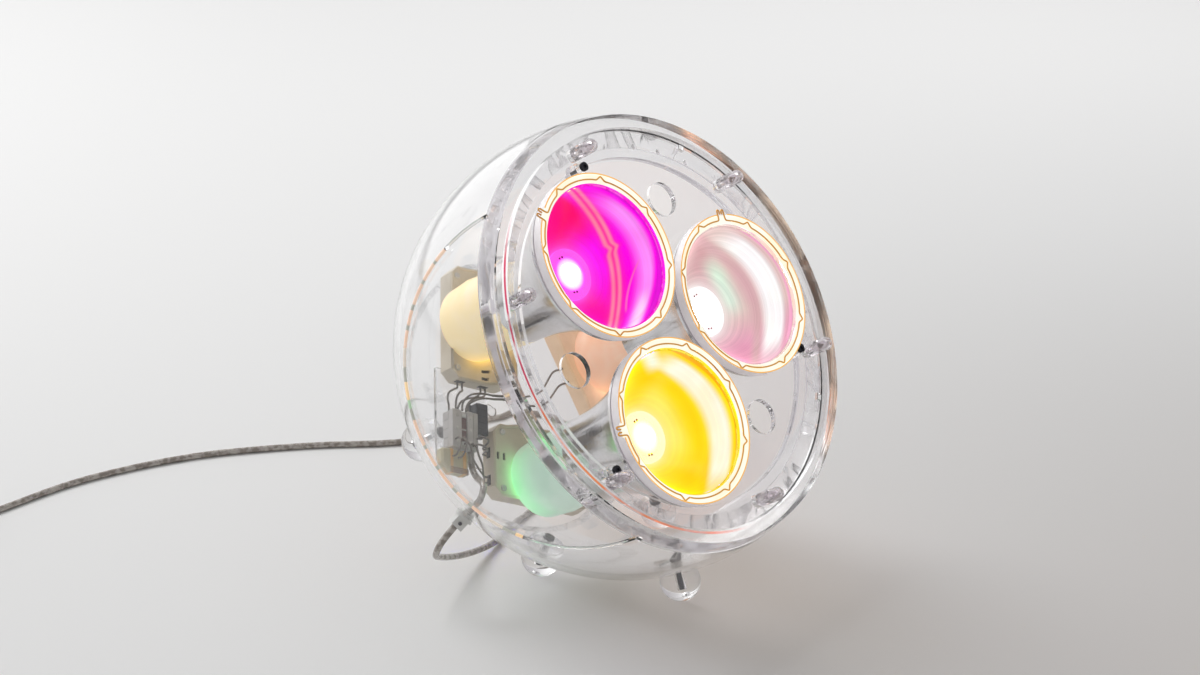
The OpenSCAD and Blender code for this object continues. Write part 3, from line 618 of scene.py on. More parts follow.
@dataclass(frozen=True)
class TurnedMetal(Finish):
    """Polished or drawn metal with lines round an axis."""
    colour: Colour = (0.8, 0.8, 0.81)
    stain: Colour = (0.62, 0.6, 0.58)
    roughness: float = 0.1
    axes: Optional[Matrix] = None
    lines: float = 1.6
    depth: float = 0.08
    metallic: float = 1.0

    def __hash__(self) -> int:
        """Finishes are told apart by name."""
        return hash(self.name)

    def paint(self, recipe: Recipe) -> Signal:
        """Metal with lines along the axis and faint stains.

        Args:
            recipe: nodes of the material.

        Returns:
            The shader.
        """
        if self.axes is None:
            lines = recipe.noise(900.0, 3.0)
        else:
            lines = recipe.streaks(recipe.along(self.axes)[2], self.lines)
        stain = recipe.noise(60.0, 4.0)
        return recipe.surface(
            Base_Color=recipe.mix(stain.rise(0.5, 0.75), self.colour, self.stain),
            Metallic=self.metallic, Roughness=stain * 0.08 + lines * 0.1 + self.roughness,
            Normal=recipe.bump(lines, 0.3, self.depth))


@dataclass(frozen=True)
class Frosted(Finish):
    """Frosted cup with a painted glow from inside, most of all towards its rear edge."""
    number: int = 1
    colour: Colour = (0.9, 0.8, 0.6)
    glow: Colour = (1.0, 0.8, 0.4)
    glow_side: Point = (0.0, -1.0)
    lit: float = 0.17
    rear_span: Point = (-50.0, -89.0)
    side_span: Point = (4.0, 27.0)

    def paint(self, recipe: Recipe) -> Signal:
        """Soft plastic with painted light at the rear and on one side.

        Args:
            recipe: nodes of the material.

        Returns:
            The shader.
        """
        x, y, z = recipe.along(LAYOUT.level_lamp(self.number))
        grain = recipe.noise(2200.0, 2.0)
        cloud = recipe.noise(38.0, 2.0)
        rear = z.rise(*self.rear_span)
        side = (x * self.glow_side[0] + y * self.glow_side[1]).rise(*self.side_span)
        edge = rear * rear * side
        # Emission is painted glow of the bulb's light, strongest at the rear edge on one side.
        return recipe.surface(
            Base_Color=recipe.mix(cloud.rise(0.4, 0.7) * 0.3, self.colour, (0.94, 0.94, 0.92)),
            Roughness=grain * 0.2 + 0.35, Coat_Weight=0.2,
            Normal=recipe.bump(grain, 0.2, 0.06),
            Emission_Color=(recipe.mix(edge, self.colour, self.glow)
                            * (edge * 0.45 + cloud * 0.06 + self.lit)),
            Emission_Strength=1.0)


@dataclass(frozen=True)
class Moulded(Finish):
    """Moulded plastic with a fine grain and a little grime."""
    colour: Colour = (0.6, 0.5, 0.4)
    grime: Colour = (0.4, 0.33, 0.26)
    roughness: float = 0.4
    grain: float = 1500.0
    depth: float = 0.08
    coat: float = 0.0

    def caught(self, recipe: Recipe) -> dict[str, Value]:
        """Sockets for painted light that the plastic catches from a neighbour."""
        return {}

    def paint(self, recipe: Recipe) -> Signal:
        """Plastic whose colour and gloss drift.

        Args:
            recipe: nodes of the material.

        Returns:
            The shader.
        """
        grain = recipe.noise(self.grain, 3.0)
        drift = recipe.noise(70.0, 4.0)
        return recipe.surface(
            Base_Color=recipe.mix(drift.rise(0.42, 0.78) * 0.5 + grain * 0.12,
                                  self.colour, self.grime),
            Roughness=drift * 0.2 + grain * 0.1 + self.roughness - 0.15,
            Coat_Weight=drift * self.coat, Coat_Roughness=0.15,
            Normal=recipe.bump(grain, 0.35, self.depth), **self.caught(recipe))


@dataclass(frozen=True)
class LitHolder(Moulded):
    """Holder with a painted glow of its frosted cup's light on one side."""
    number: int = 1
    glow: Colour = (1.0, 1.0, 1.0)
    glow_side: Point = (0.0, -1.0)
    fill: float = 0.0
    side_span: Point = (8.0, 26.0)
    cup_r: float = 26.0
    spread: float = 4.5

    def caught(self, recipe: Recipe) -> dict[str, Value]:
        """Painted light beside the foot of the cup, and an even painted glow all over from fill.

        Args:
            recipe: nodes of the material.

        Returns:
            Values by socket name.
        """
        x, y, z = recipe.along(LAYOUT.level_lamp(self.number))
        reach = recipe.off_axis(x, y)
        side = (x * self.glow_side[0] + y * self.glow_side[1]).rise(*self.side_span)
        # Painted glow: the cup's light fading away from the cup, plus an even painted fill.
        near = (reach - self.cup_r).fade(self.spread) * side * z.over(LAYOUT.cup_end - 0.4)
        return {"Emission_Color": self.glow * (near * 0.8 + self.fill), "Emission_Strength": 1.0}


@dataclass(frozen=True)
class LitBead(Moulded):
    """Bead with a faint painted glow, standing for the light inside the shell."""
    share: float = 0.42

    def caught(self, recipe: Recipe) -> dict[str, Value]:
        """Painted glow of the bead's own colour, a little uneven.

        Args:
            recipe: nodes of the material.

        Returns:
            Values by socket name.
        """
        drift = recipe.noise(150.0).rise(0.3, 0.7)
        return {"Emission_Color": recipe.mix(drift, self.colour, self.grime),
                "Emission_Strength": self.share}


@dataclass(frozen=True)
class LitPlate(Finish):
    """Plate round a bulb, with the bulb's full light painted on as glow."""
    lamp: LampColour = LampColour.PINK
    light: Colour = (1.0, 1.0, 1.0)
    core: Colour = (90.0, 90.0, 90.0)
    core_span: Point = (11.8, 7.6)

    def paint(self, recipe: Recipe) -> Signal:
        """Metal with a painted glow, white next to the bulb.

        Args:
            recipe: nodes of the material.

        Returns:
            The shader.
        """
        x, y, _ = recipe.along(LAYOUT.level_lamp(self.lamp.value))
        reach = recipe.off_axis(x, y)
        brush = recipe.noise(1200.0, 3.0)
        # Painted light: very bright white next to the bulb, the plate's light colour further out.
        glow = recipe.mix(reach.rise(*self.core_span), self.light, self.core)
        return recipe.surface(
            Base_Color=recipe.mix(brush, (0.2, 0.2, 0.2), (0.15, 0.15, 0.15)), Metallic=0.8,
            Roughness=brush * 0.2 + 0.2, Normal=recipe.bump(brush, 0.2, 0.05),
            Emission_Color=glow * (brush * 0.4 + 0.8), Emission_Strength=1.0)


@dataclass(frozen=True)
class LitBulb(Finish):
    """Bulb that is switched on."""
    colour: Colour = (1.0, 0.95, 0.86)
    strength: float = 120.0

    def paint(self, recipe: Recipe) -> Signal:
        """White glass with a bright, slightly uneven glow.

        Args:
            recipe: nodes of the material.

        Returns:
            The shader.
        """
        cloud = recipe.noise(120.0, 2.0)
        return recipe.surface(
            Base_Color=recipe.mix(cloud, (0.9, 0.9, 0.9), (0.8, 0.8, 0.82)),
            Roughness=cloud * 0.1 + 0.15,
            Emission_Color=recipe.mix(cloud.rise(0.3, 0.7), self.colour, (1.0, 0.97, 0.93)),
            Emission_Strength=self.strength)


@dataclass(frozen=True)
class FilterGlass(Finish):
    """Coated colour glass."""
    tint: Colour = (1.0, 0.5, 0.5)
    drift: Colour = (1.0, 0.4, 0.5)

    def paint(self, recipe: Recipe) -> Signal:
        """Tinted glass with a faint drift of its coating.

        Args:
            recipe: nodes of the material.

        Returns:
            The shader.
        """
        cloud = recipe.noise(30.0, 2.0)
        dust = recipe.noise(700.0, 3.0)
        shader = recipe.surface(
            Base_Color=recipe.mix(cloud.rise(0.4, 0.65), self.tint, self.drift),
            Roughness=dust.rise(0.6, 0.85) * 0.05 + 0.004, IOR=1.15, Transmission_Weight=1.0,
            Normal=recipe.bump(cloud, 0.03, 0.3))
        return recipe.clear_to_lamps(shader, tuple(math.sqrt(c) for c in self.tint))


@dataclass(frozen=True)
class Sheath(Finish):
    """Clear cord sheath over grey-brown cores."""
    core: Colour = screen(132, 123, 115)
    edge: Colour = screen(178, 172, 165)

    def paint(self, recipe: Recipe) -> Signal:
        """Twisted cores that show through a glossy sheath.

        Args:
            recipe: nodes of the material.

        Returns:
            The shader.
        """
        twist = recipe.noise(240.0, 2.0)
        fine = recipe.noise(1800.0, 2.0)
        return recipe.surface(
            Base_Color=recipe.mix(twist.rise(0.4, 0.62), self.core, self.edge),
            Roughness=fine * 0.1 + 0.16, Coat_Weight=twist * 0.3 + 0.6, Coat_Roughness=0.06,
            Normal=recipe.bump(twist, 0.15, 0.15))


@dataclass(frozen=True)
class Sweep(Finish):
    """Pale studio floor with painted light and shade."""
    colour: Colour = (0.8, 0.8, 0.8)
    shade: Colour = (0.64, 0.615, 0.6)
    warm: Colour = (0.1, 0.07, 0.042)
    far_way: Point = (0.758, 0.652, 0.0)
    right_way: Point = (0.652, -0.758, 0.0)

    def paint(self, recipe: Recipe) -> Signal:
        """Matt paper with painted shade towards the viewer's right, painted light towards the far right, and
        a painted pool of the lamp's warm light at its foot.

        Args:
            recipe: nodes of the material.

        Returns:
            The shader.
        """
        grain = recipe.noise(900.0, 2.0)
        far = recipe.here().dot(self.far_way)
        right = recipe.here().dot(self.right_way)
        # Painted shade: a darker colour on the near right.
        near = (0 - far).rise(-0.7, 0.3) * right.rise(-0.3, 0.5)
        # Painted light: brighter towards the far right, and a warm pool of the lamp's light round its foot.
        painted_far_light = far.rise(0.2, 1.3) * right.rise(-0.5, 0.7)
        spill = (recipe.here().dot((1, 0, 0)).hump(0.03, 0.11)
                 * recipe.here().dot((0, 1, 0)).hump(-0.09, 0.12))
        return recipe.surface(
            Base_Color=recipe.mix(near, self.colour, self.shade),
            Roughness=grain * 0.1 + 0.55, Normal=recipe.bump(grain, 0.05, 0.1),
            Emission_Color=(recipe.mix(painted_far_light, (0.0, 0.0, 0.0), (0.2, 0.2, 0.2))
                            + self.warm * spill),
            Emission_Strength=1.0)


ACRYLIC = ClearPlastic("clear_shell")
RIMMED = RimPlastic("clear_rim")
PLATE = ClearPlastic("clear_plate", (0.985, 0.98, 0.985), (0.96, 0.95, 0.96))
# The last number of these two is the strength of their painted dark outline.
PIN_CLEAR = ClearPlastic("clear_pin", (0.9, 0.86, 0.88), (0.8, 0.76, 0.79), 0.02, 0.12)
CLEAR_SMALL = ClearPlastic("clear_small", (0.95, 0.95, 0.95), (0.9, 0.9, 0.91), 0.02, 0.6)
BEIGE = Moulded("holder_beige", screen(214, 203, 182), screen(184, 168, 142))
GREY_BLOCK = Moulded("terminal_grey", screen(196, 192, 188), screen(160, 154, 148))
WINDOW = Moulded("terminal_window", screen(96, 52, 38), screen(60, 34, 28), 0.3)
DARK_BOX = Moulded("relay_black", screen(48, 48, 54), screen(28, 28, 30), 0.3, coat=0.3)
WINDING = Moulded("winding", screen(186, 176, 134), screen(150, 134, 92), 0.45, 900.0, 0.15)
TAPE = Moulded("winding_tape", screen(218, 165, 72), screen(190, 130, 50), 0.3, 700.0, 0.06, 0.4)
CORE = Moulded("steel_core", screen(142, 108, 78), screen(96, 72, 54), 0.4, 2600.0, 0.12)
WIRE = Moulded("wire_grey", screen(112, 104, 96), screen(76, 70, 64), 0.32, 600.0, 0.05, 0.4)
GLAND = Moulded("gland_grey", screen(222, 222, 218), screen(190, 190, 186), 0.35)
SOCKET = Moulded("socket_black", screen(62, 56, 50), screen(36, 33, 30), 0.35)
JOINT_PEACH = LitBead("joint_peach", screen(240, 208, 186), screen(234, 190, 162), 0.35)
JOINT_GREY = LitBead("joint_grey", screen(182, 182, 172), screen(162, 164, 154), 0.35)
JOINT_PALE = LitBead("joint_pale", screen(226, 214, 200), screen(206, 196, 182), 0.35)
JOINT_GOLD = LitBead("joint_gold", screen(255, 224, 176), screen(252, 200, 146), 0.35)
JOINT_GREEN = LitBead("joint_green", screen(184, 212, 180), screen(160, 192, 158), 0.35)
JOINT_RUN = (
    (JOINT_PEACH, 5.0), (JOINT_GREY, 1.4), (JOINT_PEACH, 6.5), (JOINT_GREY, 1.6), (JOINT_PEACH, 7.5),
    (JOINT_GREY, 2.2), (JOINT_PEACH, 5.2), (JOINT_GREY, 1.8), (JOINT_PEACH, 6.0), (JOINT_PALE, 6.5),
    (JOINT_GREY, 5.0), (JOINT_GOLD, 6.0), (JOINT_GREEN, 3.0), (JOINT_GREY, 4.0), (JOINT_PEACH, 4.0),
)
SWITCH = Moulded("switch_black", screen(40, 40, 42), screen(26, 26, 27), 0.4)
ROCKER = Moulded("rocker_grey", screen(196, 196, 198), screen(160, 160, 160), 0.3, coat=0.3)
PLUG = Moulded("plug_black", screen(36, 36, 37), screen(24, 24, 24), 0.5, 1100.0, 0.15)
TIE = Moulded("tie_black", screen(44, 44, 46), screen(28, 28, 28), 0.45)
STEEL = TurnedMetal("stud_steel", screen(118, 118, 120), screen(70, 68, 66), 0.22)
LIGHT_STEEL = TurnedMetal("screw_bright", screen(206, 204, 198), screen(160, 156, 148), 0.25, metallic=0.7)
BLACKED = TurnedMetal("screw_black", screen(44, 44, 50), screen(24, 24, 26), 0.3, metallic=0.6)
PIN_METAL = TurnedMetal("plug_pin", screen(214, 206, 186), screen(170, 158, 130), 0.15)
COPPER = TurnedMetal("ring_wire", screen(246, 186, 96), screen(214, 146, 70), 0.3)
SHEATH = Sheath("cord_sheath")
PINK_GLASS = (0.93, 0.68, 0.73)
MAGENTA_GLASS = (1.0, 0.012, 0.85)
YELLOW_GLASS = (1.0, 0.76, 0.012)


def dress(node: str, finish: Finish) -> None:
    """Gives a carried-over node its finish.

    Args:
        node: name of the node.
        finish: its finish.
    """
    piece = frame["nodes"][node]
    material = finish.material()
    for place in piece.material_slots:
        place.material = material
    log.info("dressed %s as %s", node, finish.name)


def add(name: str, data: Any) -> bpy.types.Object:
    """Adds an object with a mesh, curve, lamp or camera to the scene.

    Args:
        name: the object's name.
        data: what it shows.

    Returns:
        The object.
    """
    made = bpy.data.objects.new(name, data)
    bpy.context.scene.collection.objects.link(made)
    return made


def smooth_path(points: Sequence[Point], steps: int) -> list[Vector]:
    """Smooth curve through points.

    Args:
        points: points that the curve passes.
        steps: parts between two points.

    Returns:
        Points along the curve, in the same unit.
    """
    p = [Vector(q) for q in points]
    path = []
    for i in range(len(p) - 1):
        a, b, c, d = p[max(i - 1, 0)], p[i], p[i + 1], p[min(i + 2, len(p) - 1)]
        for j in range(steps):
            t = j / steps
            path.append((2 * b + (c - a) * t + (2 * a - 5 * b + 4 * c - d) * t * t
                         + (3 * b - a - 3 * c + d) * t ** 3) / 2)
    return path + [p[-1]]


class Former:
    """Collects the shapes of one piece in millimetres and makes it an object."""

    def __init__(self) -> None:
        """Starts with nothing."""
        self.bm = bmesh.new()
        self.finishes: list[Finish] = []

    def _index(self, finish: Finish) -> int:
        """Material index of a finish on this piece.

        Args:
            finish: its finish.

        Returns:
            The index.
        """
        if finish not in self.finishes:
            self.finishes.append(finish)
        return self.finishes.index(finish)

    def grid(self, rows: Sequence[Sequence[Vector]], finish: Finish, caps: bool = True,
             smooth: bool = True) -> None:
        """Skins rows of points.

        Args:
            rows: closed rows of equal length, in millimetres in the part's frame.
            finish: finish of the skin.
            caps: whether the first and last rows are filled.
            smooth: whether the skin is shaded smooth.
        """
        index = self._index(finish)
        made = [[self.bm.verts.new(p) for p in row] for row in rows]
        count = len(rows[0])
        faces = []
        for low, high in zip(made, made[1:]):
            for k in range(count):
                n = (k + 1) % count
                faces.append(self.bm.faces.new((low[k], low[n], high[n], high[k])))
        if caps:
            faces.append(self.bm.faces.new(list(reversed(made[0]))))
            faces.append(self.bm.faces.new(made[-1]))
        for face in faces:
            face.material_index = index
            face.smooth = smooth and len(face.verts) == 4

    def tube(self, path: Sequence[Vector], radius: float, finish: Finish, sides: int = 10,
             side_axis: Point = (0, 0, 1)) -> None:
        """Round wire along a path that never runs along side_axis.

        Args:
            path: points along the middle.
            radius: half the thickness.
            finish: its finish.
            sides: faces around.
            side_axis: axis that the path never runs along.
        """
        rows = []
        for i, p in enumerate(path):
            ahead = (path[min(i + 1, len(path) - 1)] - path[max(i - 1, 0)]).normalized()
            side = ahead.cross(Vector(side_axis)).normalized()
            other = side.cross(ahead)
            rows.append([p + radius * (math.cos(a) * side + math.sin(a) * other)
                         for a in (2 * math.pi * k / sides for k in range(sides))])
        self.grid(rows, finish)

    def lathe(self, profile: Sequence[Point], axes: Matrix, finish: Finish, sides: int = 40,
              caps: bool = True) -> None:
        """Turns a profile of radius and height round the Z axis of a frame.

        Args:
            profile: radius and height of each point.
            axes: frame in millimetres.
            finish: its finish.
            sides: faces around.
            caps: whether the ends are filled.
        """
        rows = [[axes @ Vector((r * math.cos(a), r * math.sin(a), z))
                 for a in (2 * math.pi * k / sides for k in range(sides))] for r, z in profile]
        self.grid(rows, finish, caps=caps)

    def slab(self, outline: Sequence[Point], low: float, high: float, axes: Matrix, finish: Finish,
             bevel: float = 0.6) -> None:
        """Plate of an outline between two heights, with its edges broken.

        Args:
            outline: corners of the plate.
            low: lower limit or corner.
            high: upper limit or corner.
            axes: frame in millimetres.
            finish: its finish.
            bevel: width of the broken edge.
        """
        mid = sum((Vector(p) for p in outline), Vector((0, 0))) / len(outline)
        rows = []
        for height, inset in ((low, bevel), (low + bevel, 0), (high - bevel, 0), (high, bevel)):
            pulled = [mid + (Vector(p) - mid) * (1 - inset / (Vector(p) - mid).length) for p in outline]
            rows.append([axes @ Vector((*p, height)) for p in pulled])
        self.grid(rows, finish, smooth=False)

    def box(self, low: Point, high: Point, axes: Matrix, finish: Finish, bevel: float = 0.4,
            segments: int = 2) -> None:
        """Block with rounded edges between two corners in a frame.

        Args:
            low: lower limit or corner.
            high: upper limit or corner.
            axes: frame in millimetres.
            finish: its finish.
            bevel: width of the broken edge.
            segments: steps of the rounding.
        """
        index = self._index(finish)
        lo, hi = Vector(low), Vector(high)
        made = bmesh.ops.create_cube(self.bm, size=1.0)["verts"]
        for v in made:
            v.co = Vector((lo[i] + (v.co[i] + 0.5) * (hi[i] - lo[i]) for i in range(3)))
        edges = list(dict.fromkeys(e for v in made for e in v.link_edges))
        rounded = bmesh.ops.bevel(self.bm, geom=edges, offset=bevel, segments=segments,
                                  profile=0.5, affect="EDGES", clamp_overlap=True)
        verts = {v for f in rounded["faces"] for v in f.verts}
        for v in verts:
            v.co = axes @ v.co
        for face in {f for v in verts for f in v.link_faces}:
            face.material_index = index
            face.smooth = False

    def piece(self, name: str, body: str = "globe", slot: Optional[str] = None,
              replaces: Iterable[str] = ()) -> bpy.types.Object:
        """Makes the object.

        Args:
            name: the piece's name.
            body: body that it moves with.
            slot: not used.
            replaces: nodes that it stands for.

        Returns:
            The piece, riding on its body.
        """
        bmesh.ops.recalc_face_normals(self.bm, faces=self.bm.faces)
        self.bm.transform(Matrix.Scale(MM, 4))
        mesh = bpy.data.meshes.new(name)
        self.bm.to_mesh(mesh)
        self.bm.free()
        for finish in self.finishes:
            mesh.materials.append(finish.material())
        made = add(name, mesh)
        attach(made, body)
        if replaces:
            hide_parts(*replaces)
        log.info("built %s: %d faces", name, len(mesh.polygons))
        return made


@dataclass
class Studio:
    """Camera, lights, air and floor."""
    away: Point = (-1228.73, -1034.95, 678.83)
    azimuth: float = -49.3
    elevation: float = 22.7
    lens: float = 81.08
    floor_half: float = 9.0
    key_place: Point = (0.1, 1.7, 1.95)
    key_size: float = 1.7
    key_power: float = 39.0
    bounces: int = 24

    def camera(self) -> bpy.types.Object:
        """Puts the camera at the photograph's place.

        Returns:
            The camera.
        """
        a, e = math.radians(self.azimuth), math.radians(self.elevation)
        right = Vector((math.cos(a), math.sin(a), 0))
        toward = Vector((math.sin(a), -math.cos(a), 0))
        back = math.cos(e) * toward + math.sin(e) * Vector((0, 0, 1))
        up = back.cross(right)
        data = bpy.data.cameras.new("camera")
        data.lens, data.sensor_width = self.lens, 36.0
        made = add("camera", data)
        place = (Vector(LAYOUT.globe_mid) + Vector(self.away)) * MM
        made.matrix_world = Matrix.Translation(place) @ Matrix((right, up, back)).transposed().to_4x4()
        bpy.context.scene.camera = made
        log.info("placed the camera")
        return made

    def lights(self) -> None:
        """One large soft lamp, high behind on the left."""
        data = bpy.data.lights.new("key", "AREA")
        data.shape, data.size, data.energy = "DISK", self.key_size, self.key_power
        made = add("key", data)
        place = Vector(self.key_place)
        aim = Vector((0, 0, 0.15)) - place
        made.matrix_world = Matrix.Translation(place) @ aim.to_track_quat("-Z", "Y").to_matrix().to_4x4()
        made.visible_glossy = False
        log.info("hung the key lamp")

    def air(self) -> None:
        """Pale surroundings: bright behind on the left, grey towards the viewer."""
        world = bpy.data.worlds.new("studio_air")
        bpy.context.scene.world = world
        world.use_nodes = True
        recipe = Recipe(world.node_tree, "ShaderNodeOutputWorld")
        toward = recipe.node("ShaderNodeTexCoord", out="Generated")
        bright = toward.dot((-0.07, 0.88, 0.47)).rise(0.1, 0.95)
        path = "ShaderNodeLightPath"
        glossy = recipe.node(path, out="Is Glossy Ray")
        mirror = recipe.maths("MAXIMUM", glossy, recipe.node(path, out="Is Transmission Ray"))
        plain = recipe.maths("MAXIMUM", mirror, recipe.node(path, out="Is Camera Ray"))
        grey = recipe.mix(mirror, screen(176, 174, 176), screen(198, 194, 198))
        shown = recipe.mix(bright, grey, screen(246, 246, 246))
        panels = (toward.dot((0.23, 0.94, 0.25)).rise(0.7, 1.0) * 0.36
                  + toward.dot((-0.08, 0.72, 0.69)).rise(0.88, 1.0) * 0.9)
        shown = shown + (1.0, 1.0, 1.0) * (panels * glossy)
        recipe.finish(recipe.node("ShaderNodeBackground", None, {
            "Color": recipe.mix(plain, (0.44, 0.438, 0.435), shown), "Strength": 1.0}))

    def floor(self) -> None:
        """Wide pale floor."""
        h = self.floor_half
        mesh = bpy.data.meshes.new("floor")
        mesh.from_pydata([(-h, -h, 0), (h, -h, 0), (h, h, 0), (-h, h, 0)], [], [(0, 1, 2, 3)])
        mesh.materials.append(Sweep("floor").material())
        made = add("floor", mesh)
        made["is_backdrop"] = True
        log.info("laid the floor")

    def build(self) -> None:
        """Sets the view and the light."""
        scene = bpy.context.scene
        scene.view_settings.view_transform = "Standard"
        scene.cycles.max_bounces = self.bounces
        scene.cycles.transmission_bounces = self.bounces
        scene.cycles.glossy_bounces = self.bounces
        scene.cycles.sample_clamp_indirect = 60.0
        scene.cycles.transparent_max_bounces = 32
        self.camera()
        self.lights()
        self.air()
        self.floor()


@dataclass
class Cords:
    """The cord from the gland to its switch, and the put-away rest with the plug."""
    diameter: float = 4.5
    lie: float = 2.3
    clamp_outer: float = 159.1
    switch_end: Point = (-250.0, 362.0, 2.3)
    coil_from: Point = (-310.0, 362.0, 2.3)
    coil_mid: Point = (-355.0, 398.0)
    coil_r: float = 36.0
    pitch: float = 5.5
    turns: float = 6.5
    turn_points: int = 24
    plug_entry: Point = (-295.0, 434.0, 7.0)
    tie_in: float = 21.0
    tie_out: float = 3.2
    tie_top: float = 10.6
    clear: float = 0.02
    switch_mid: Point = (-280.0, 362.0, 0.0)
    switch_top: float = 17.0
    rocker_frame: Point = (10.7, 6.7)
    cover_screw: Point = (23.0, -7.0)
    grip_ribs: int = 10
    grip_pitch: float = 2.2
    grip_reach: Point = (11.8, 12.4)
    relief_ribs: int = 5
    relief_pitch: float = 2.3
    plug_grips: int = 5
    plug_grip_pitch: float = 3.2

    def gland_axis(self) -> Vector:
        """Direction in which the cord leaves the globe."""
        turn = LAYOUT.beam().to_3x3() @ LAYOUT.outward(LAYOUT.gland_turn, LAYOUT.gland_spread).to_3x3()
        return (turn @ Vector((0, 0, 1))).normalized()

    def route(self) -> list[Vector]:
        """Route from inside the gland over the floor to the switch.

        Returns:
            Points of the route.
        """
        mid = Vector(LAYOUT.globe_mid)
        start = mid + LAYOUT.gland_inner * self.gland_axis()
        leave = mid + self.clamp_outer * self.gland_axis()
        z = self.lie
        points = [start, (start + leave) / 2, leave, (-122, 29, 49), (-121, 35, 39), (-113, 41, 31),
                  (-82, 52, 16), (-48, 61, 6), (-15, 69, z), (40, 83, z), (95, 105, z), (132, 140, z),
                  (140, 172, z), (122, 198, z), (80, 215, z), (40, 229, z), (-10, 277, z), (-75, 325, z),
                  (-150, 354, z), (-215, 361, z), (-241, 362, z), self.switch_end]
        return smooth_path(points, 4)

    def coil_point(self, turn: float) -> Vector:
        """Place on the coil after a number of turns: three turns in, half a turn up, three out.

        Args:
            turn: number of turns from the start.

        Returns:
            The place.
        """
        reach = self.coil_r - self.pitch * min(turn, self.turns - turn)
        t = min(max((turn - 3) / 0.5, 0), 1)
        angle = math.radians(-90 - 360 * turn)
        x, y = self.coil_mid
        return Vector((x + reach * math.cos(angle), y + reach * math.sin(angle),
                       self.lie + self.pitch * t * t * (3 - 2 * t)))

    def coil(self) -> list[Vector]:
        """Route from the switch through the coil to the plug.

        Returns:
            Points of the route.
        """
        start, end = Vector(self.coil_from), Vector(self.plug_entry)
        count = round(self.turns * self.turn_points)
        turns = [self.coil_point(i / self.turn_points) for i in range(count + 1)]
        tail = smooth_path([turns[-1] + Vector((10, 0, 0)), end - Vector((16, 0, 0)),
                            end - Vector((self.diameter, 0, 0))], 3)
        return [start, start - Vector((self.diameter, 0, 0))] + turns + tail + [end]

    def lay(self, name: str, path: list[Vector], node: str) -> bpy.types.Object:
        """Lays a cord along a path in place of its node.

        Args:
            name: the piece's name.
            path: points along the middle.
            node: name of the node.

        Returns:
            The piece.
        """
        data = bpy.data.curves.new(name, "CURVE")
        data.dimensions, data.bevel_depth, data.bevel_resolution = "3D", self.diameter / 2 * MM, 4
        data.use_fill_caps = True
        line = data.splines.new("POLY")
        line.points.add(len(path) - 1)
        for place, p in zip(line.points, path):
            place.co = (*(p * MM), 1)
        line.use_smooth = True
        data.materials.append(SHEATH.material())
        made = add(name, data)
        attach(made, "globe")
        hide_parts(node)
        log.info("laid %s: %.3f m", name, self.length(path))
        return made

    @staticmethod
    def length(path: Sequence[Vector]) -> float:
        """Length of a path in metres."""
        return sum((b - a).length for a, b in zip(path, path[1:])) * MM

    def tie(self) -> bpy.types.Object:
        """Band round the coil's turns.

        Returns:
            The piece.
        """
        form = Former()
        mid = Vector((*self.coil_mid, 0))
        inner, outer, top = self.coil_r - self.tie_in, self.coil_r + self.tie_out, self.tie_top
        ring = [(inner, 0.3), (inner + 1.5, 0.05), (outer - 1.5, 0.05), (outer, 0.6), (outer, top - 3.5),
                (outer - 2, top - 1), (outer - 6, top), (inner + 5, top), (inner + 1, top - 1.2),
                (inner, top - 4)]
        rows = []
        for side in (-4.0, -3.6, 3.6, 4.0):
            swell = 0.0 if abs(side) < 3.9 else -0.25
            row = []
            for r, z in ring:
                pulled = r + (swell if r > self.coil_r - 5 else -swell)
                row.append(mid + Vector((-pulled, side, max(z + swell * (z > 5), self.clear))))
            rows.append(row)
        form.grid(rows, TIE)
        return form.piece("coil_tie", slot="switch_black")

    def switch_fittings(self) -> bpy.types.Object:
        """Frame round the rocker, cover screws and grip ribs of the switch.

        Returns:
            The piece.
        """
        form, axes = Former(), Matrix.Translation(self.switch_mid)
        x, y = self.rocker_frame
        top = self.switch_top
        frame_line = [(x, -y), (x, y), (-x, y), (-x, -y), (x, -y)]
        form.tube([axes @ Vector((a, b, top)) for a, b in frame_line], 0.5, SWITCH, 8)
        for side in (-1, 1):
            across, along = self.cover_screw
            place = axes @ Matrix.Translation((side * across, side * along, top))
            form.lathe([(0.3, -0.3), (2.0, -0.3), (2.0, 0.2), (1.6, 0.5), (0.9, 0.5), (0.8, 0.15),
                        (0.3, 0.15)], place, LIGHT_STEEL, 24)
            low, high = sorted(side * reach for reach in self.grip_reach)
            for rib in range(self.grip_ribs):
                start = rib * self.grip_pitch - 10.6
                form.box((start, low, 4.0), (start + 1.2, high, 13.0), axes, SWITCH, 0.15)
        return form.piece("switch_fittings", slot="switch_black")

    def plug_relief(self) -> bpy.types.Object:
        """Ribbed sleeve where the cord enters the plug, and grips on the plug's faces.

        Returns:
            The piece.
        """
        form = Former()
        axes = Matrix.Translation(self.plug_entry) @ Matrix.Rotation(math.radians(-90), 4, "Y")
        profile = [(2.3, -0.5), (4.0, -0.5), (4.0, 1.0)]
        for rib in range(self.relief_ribs):
            z, r = 1.2 + rib * self.relief_pitch, 3.9 - rib * 0.2
            profile += [(r - 0.6, z), (r - 0.6, z + 0.9), (r, z + 1.0), (r, z + 2.1)]
        form.lathe(profile + [(2.5, 13.0), (2.3, 13.0)], axes, PLUG, 32, caps=False)
        for row in range(self.plug_grips):
            start = (self.plug_entry[0] + 14.0 + row * self.plug_grip_pitch, self.plug_entry[1], 0)
            for low, high in ((self.clear, 0.35), (13.7, 14.3)):
                form.box((-0.7, -7.0, low), (0.7, 7.0, high), Matrix.Translation(start), PLUG, 0.12)
        return form.piece("plug_relief", slot="plug_black")

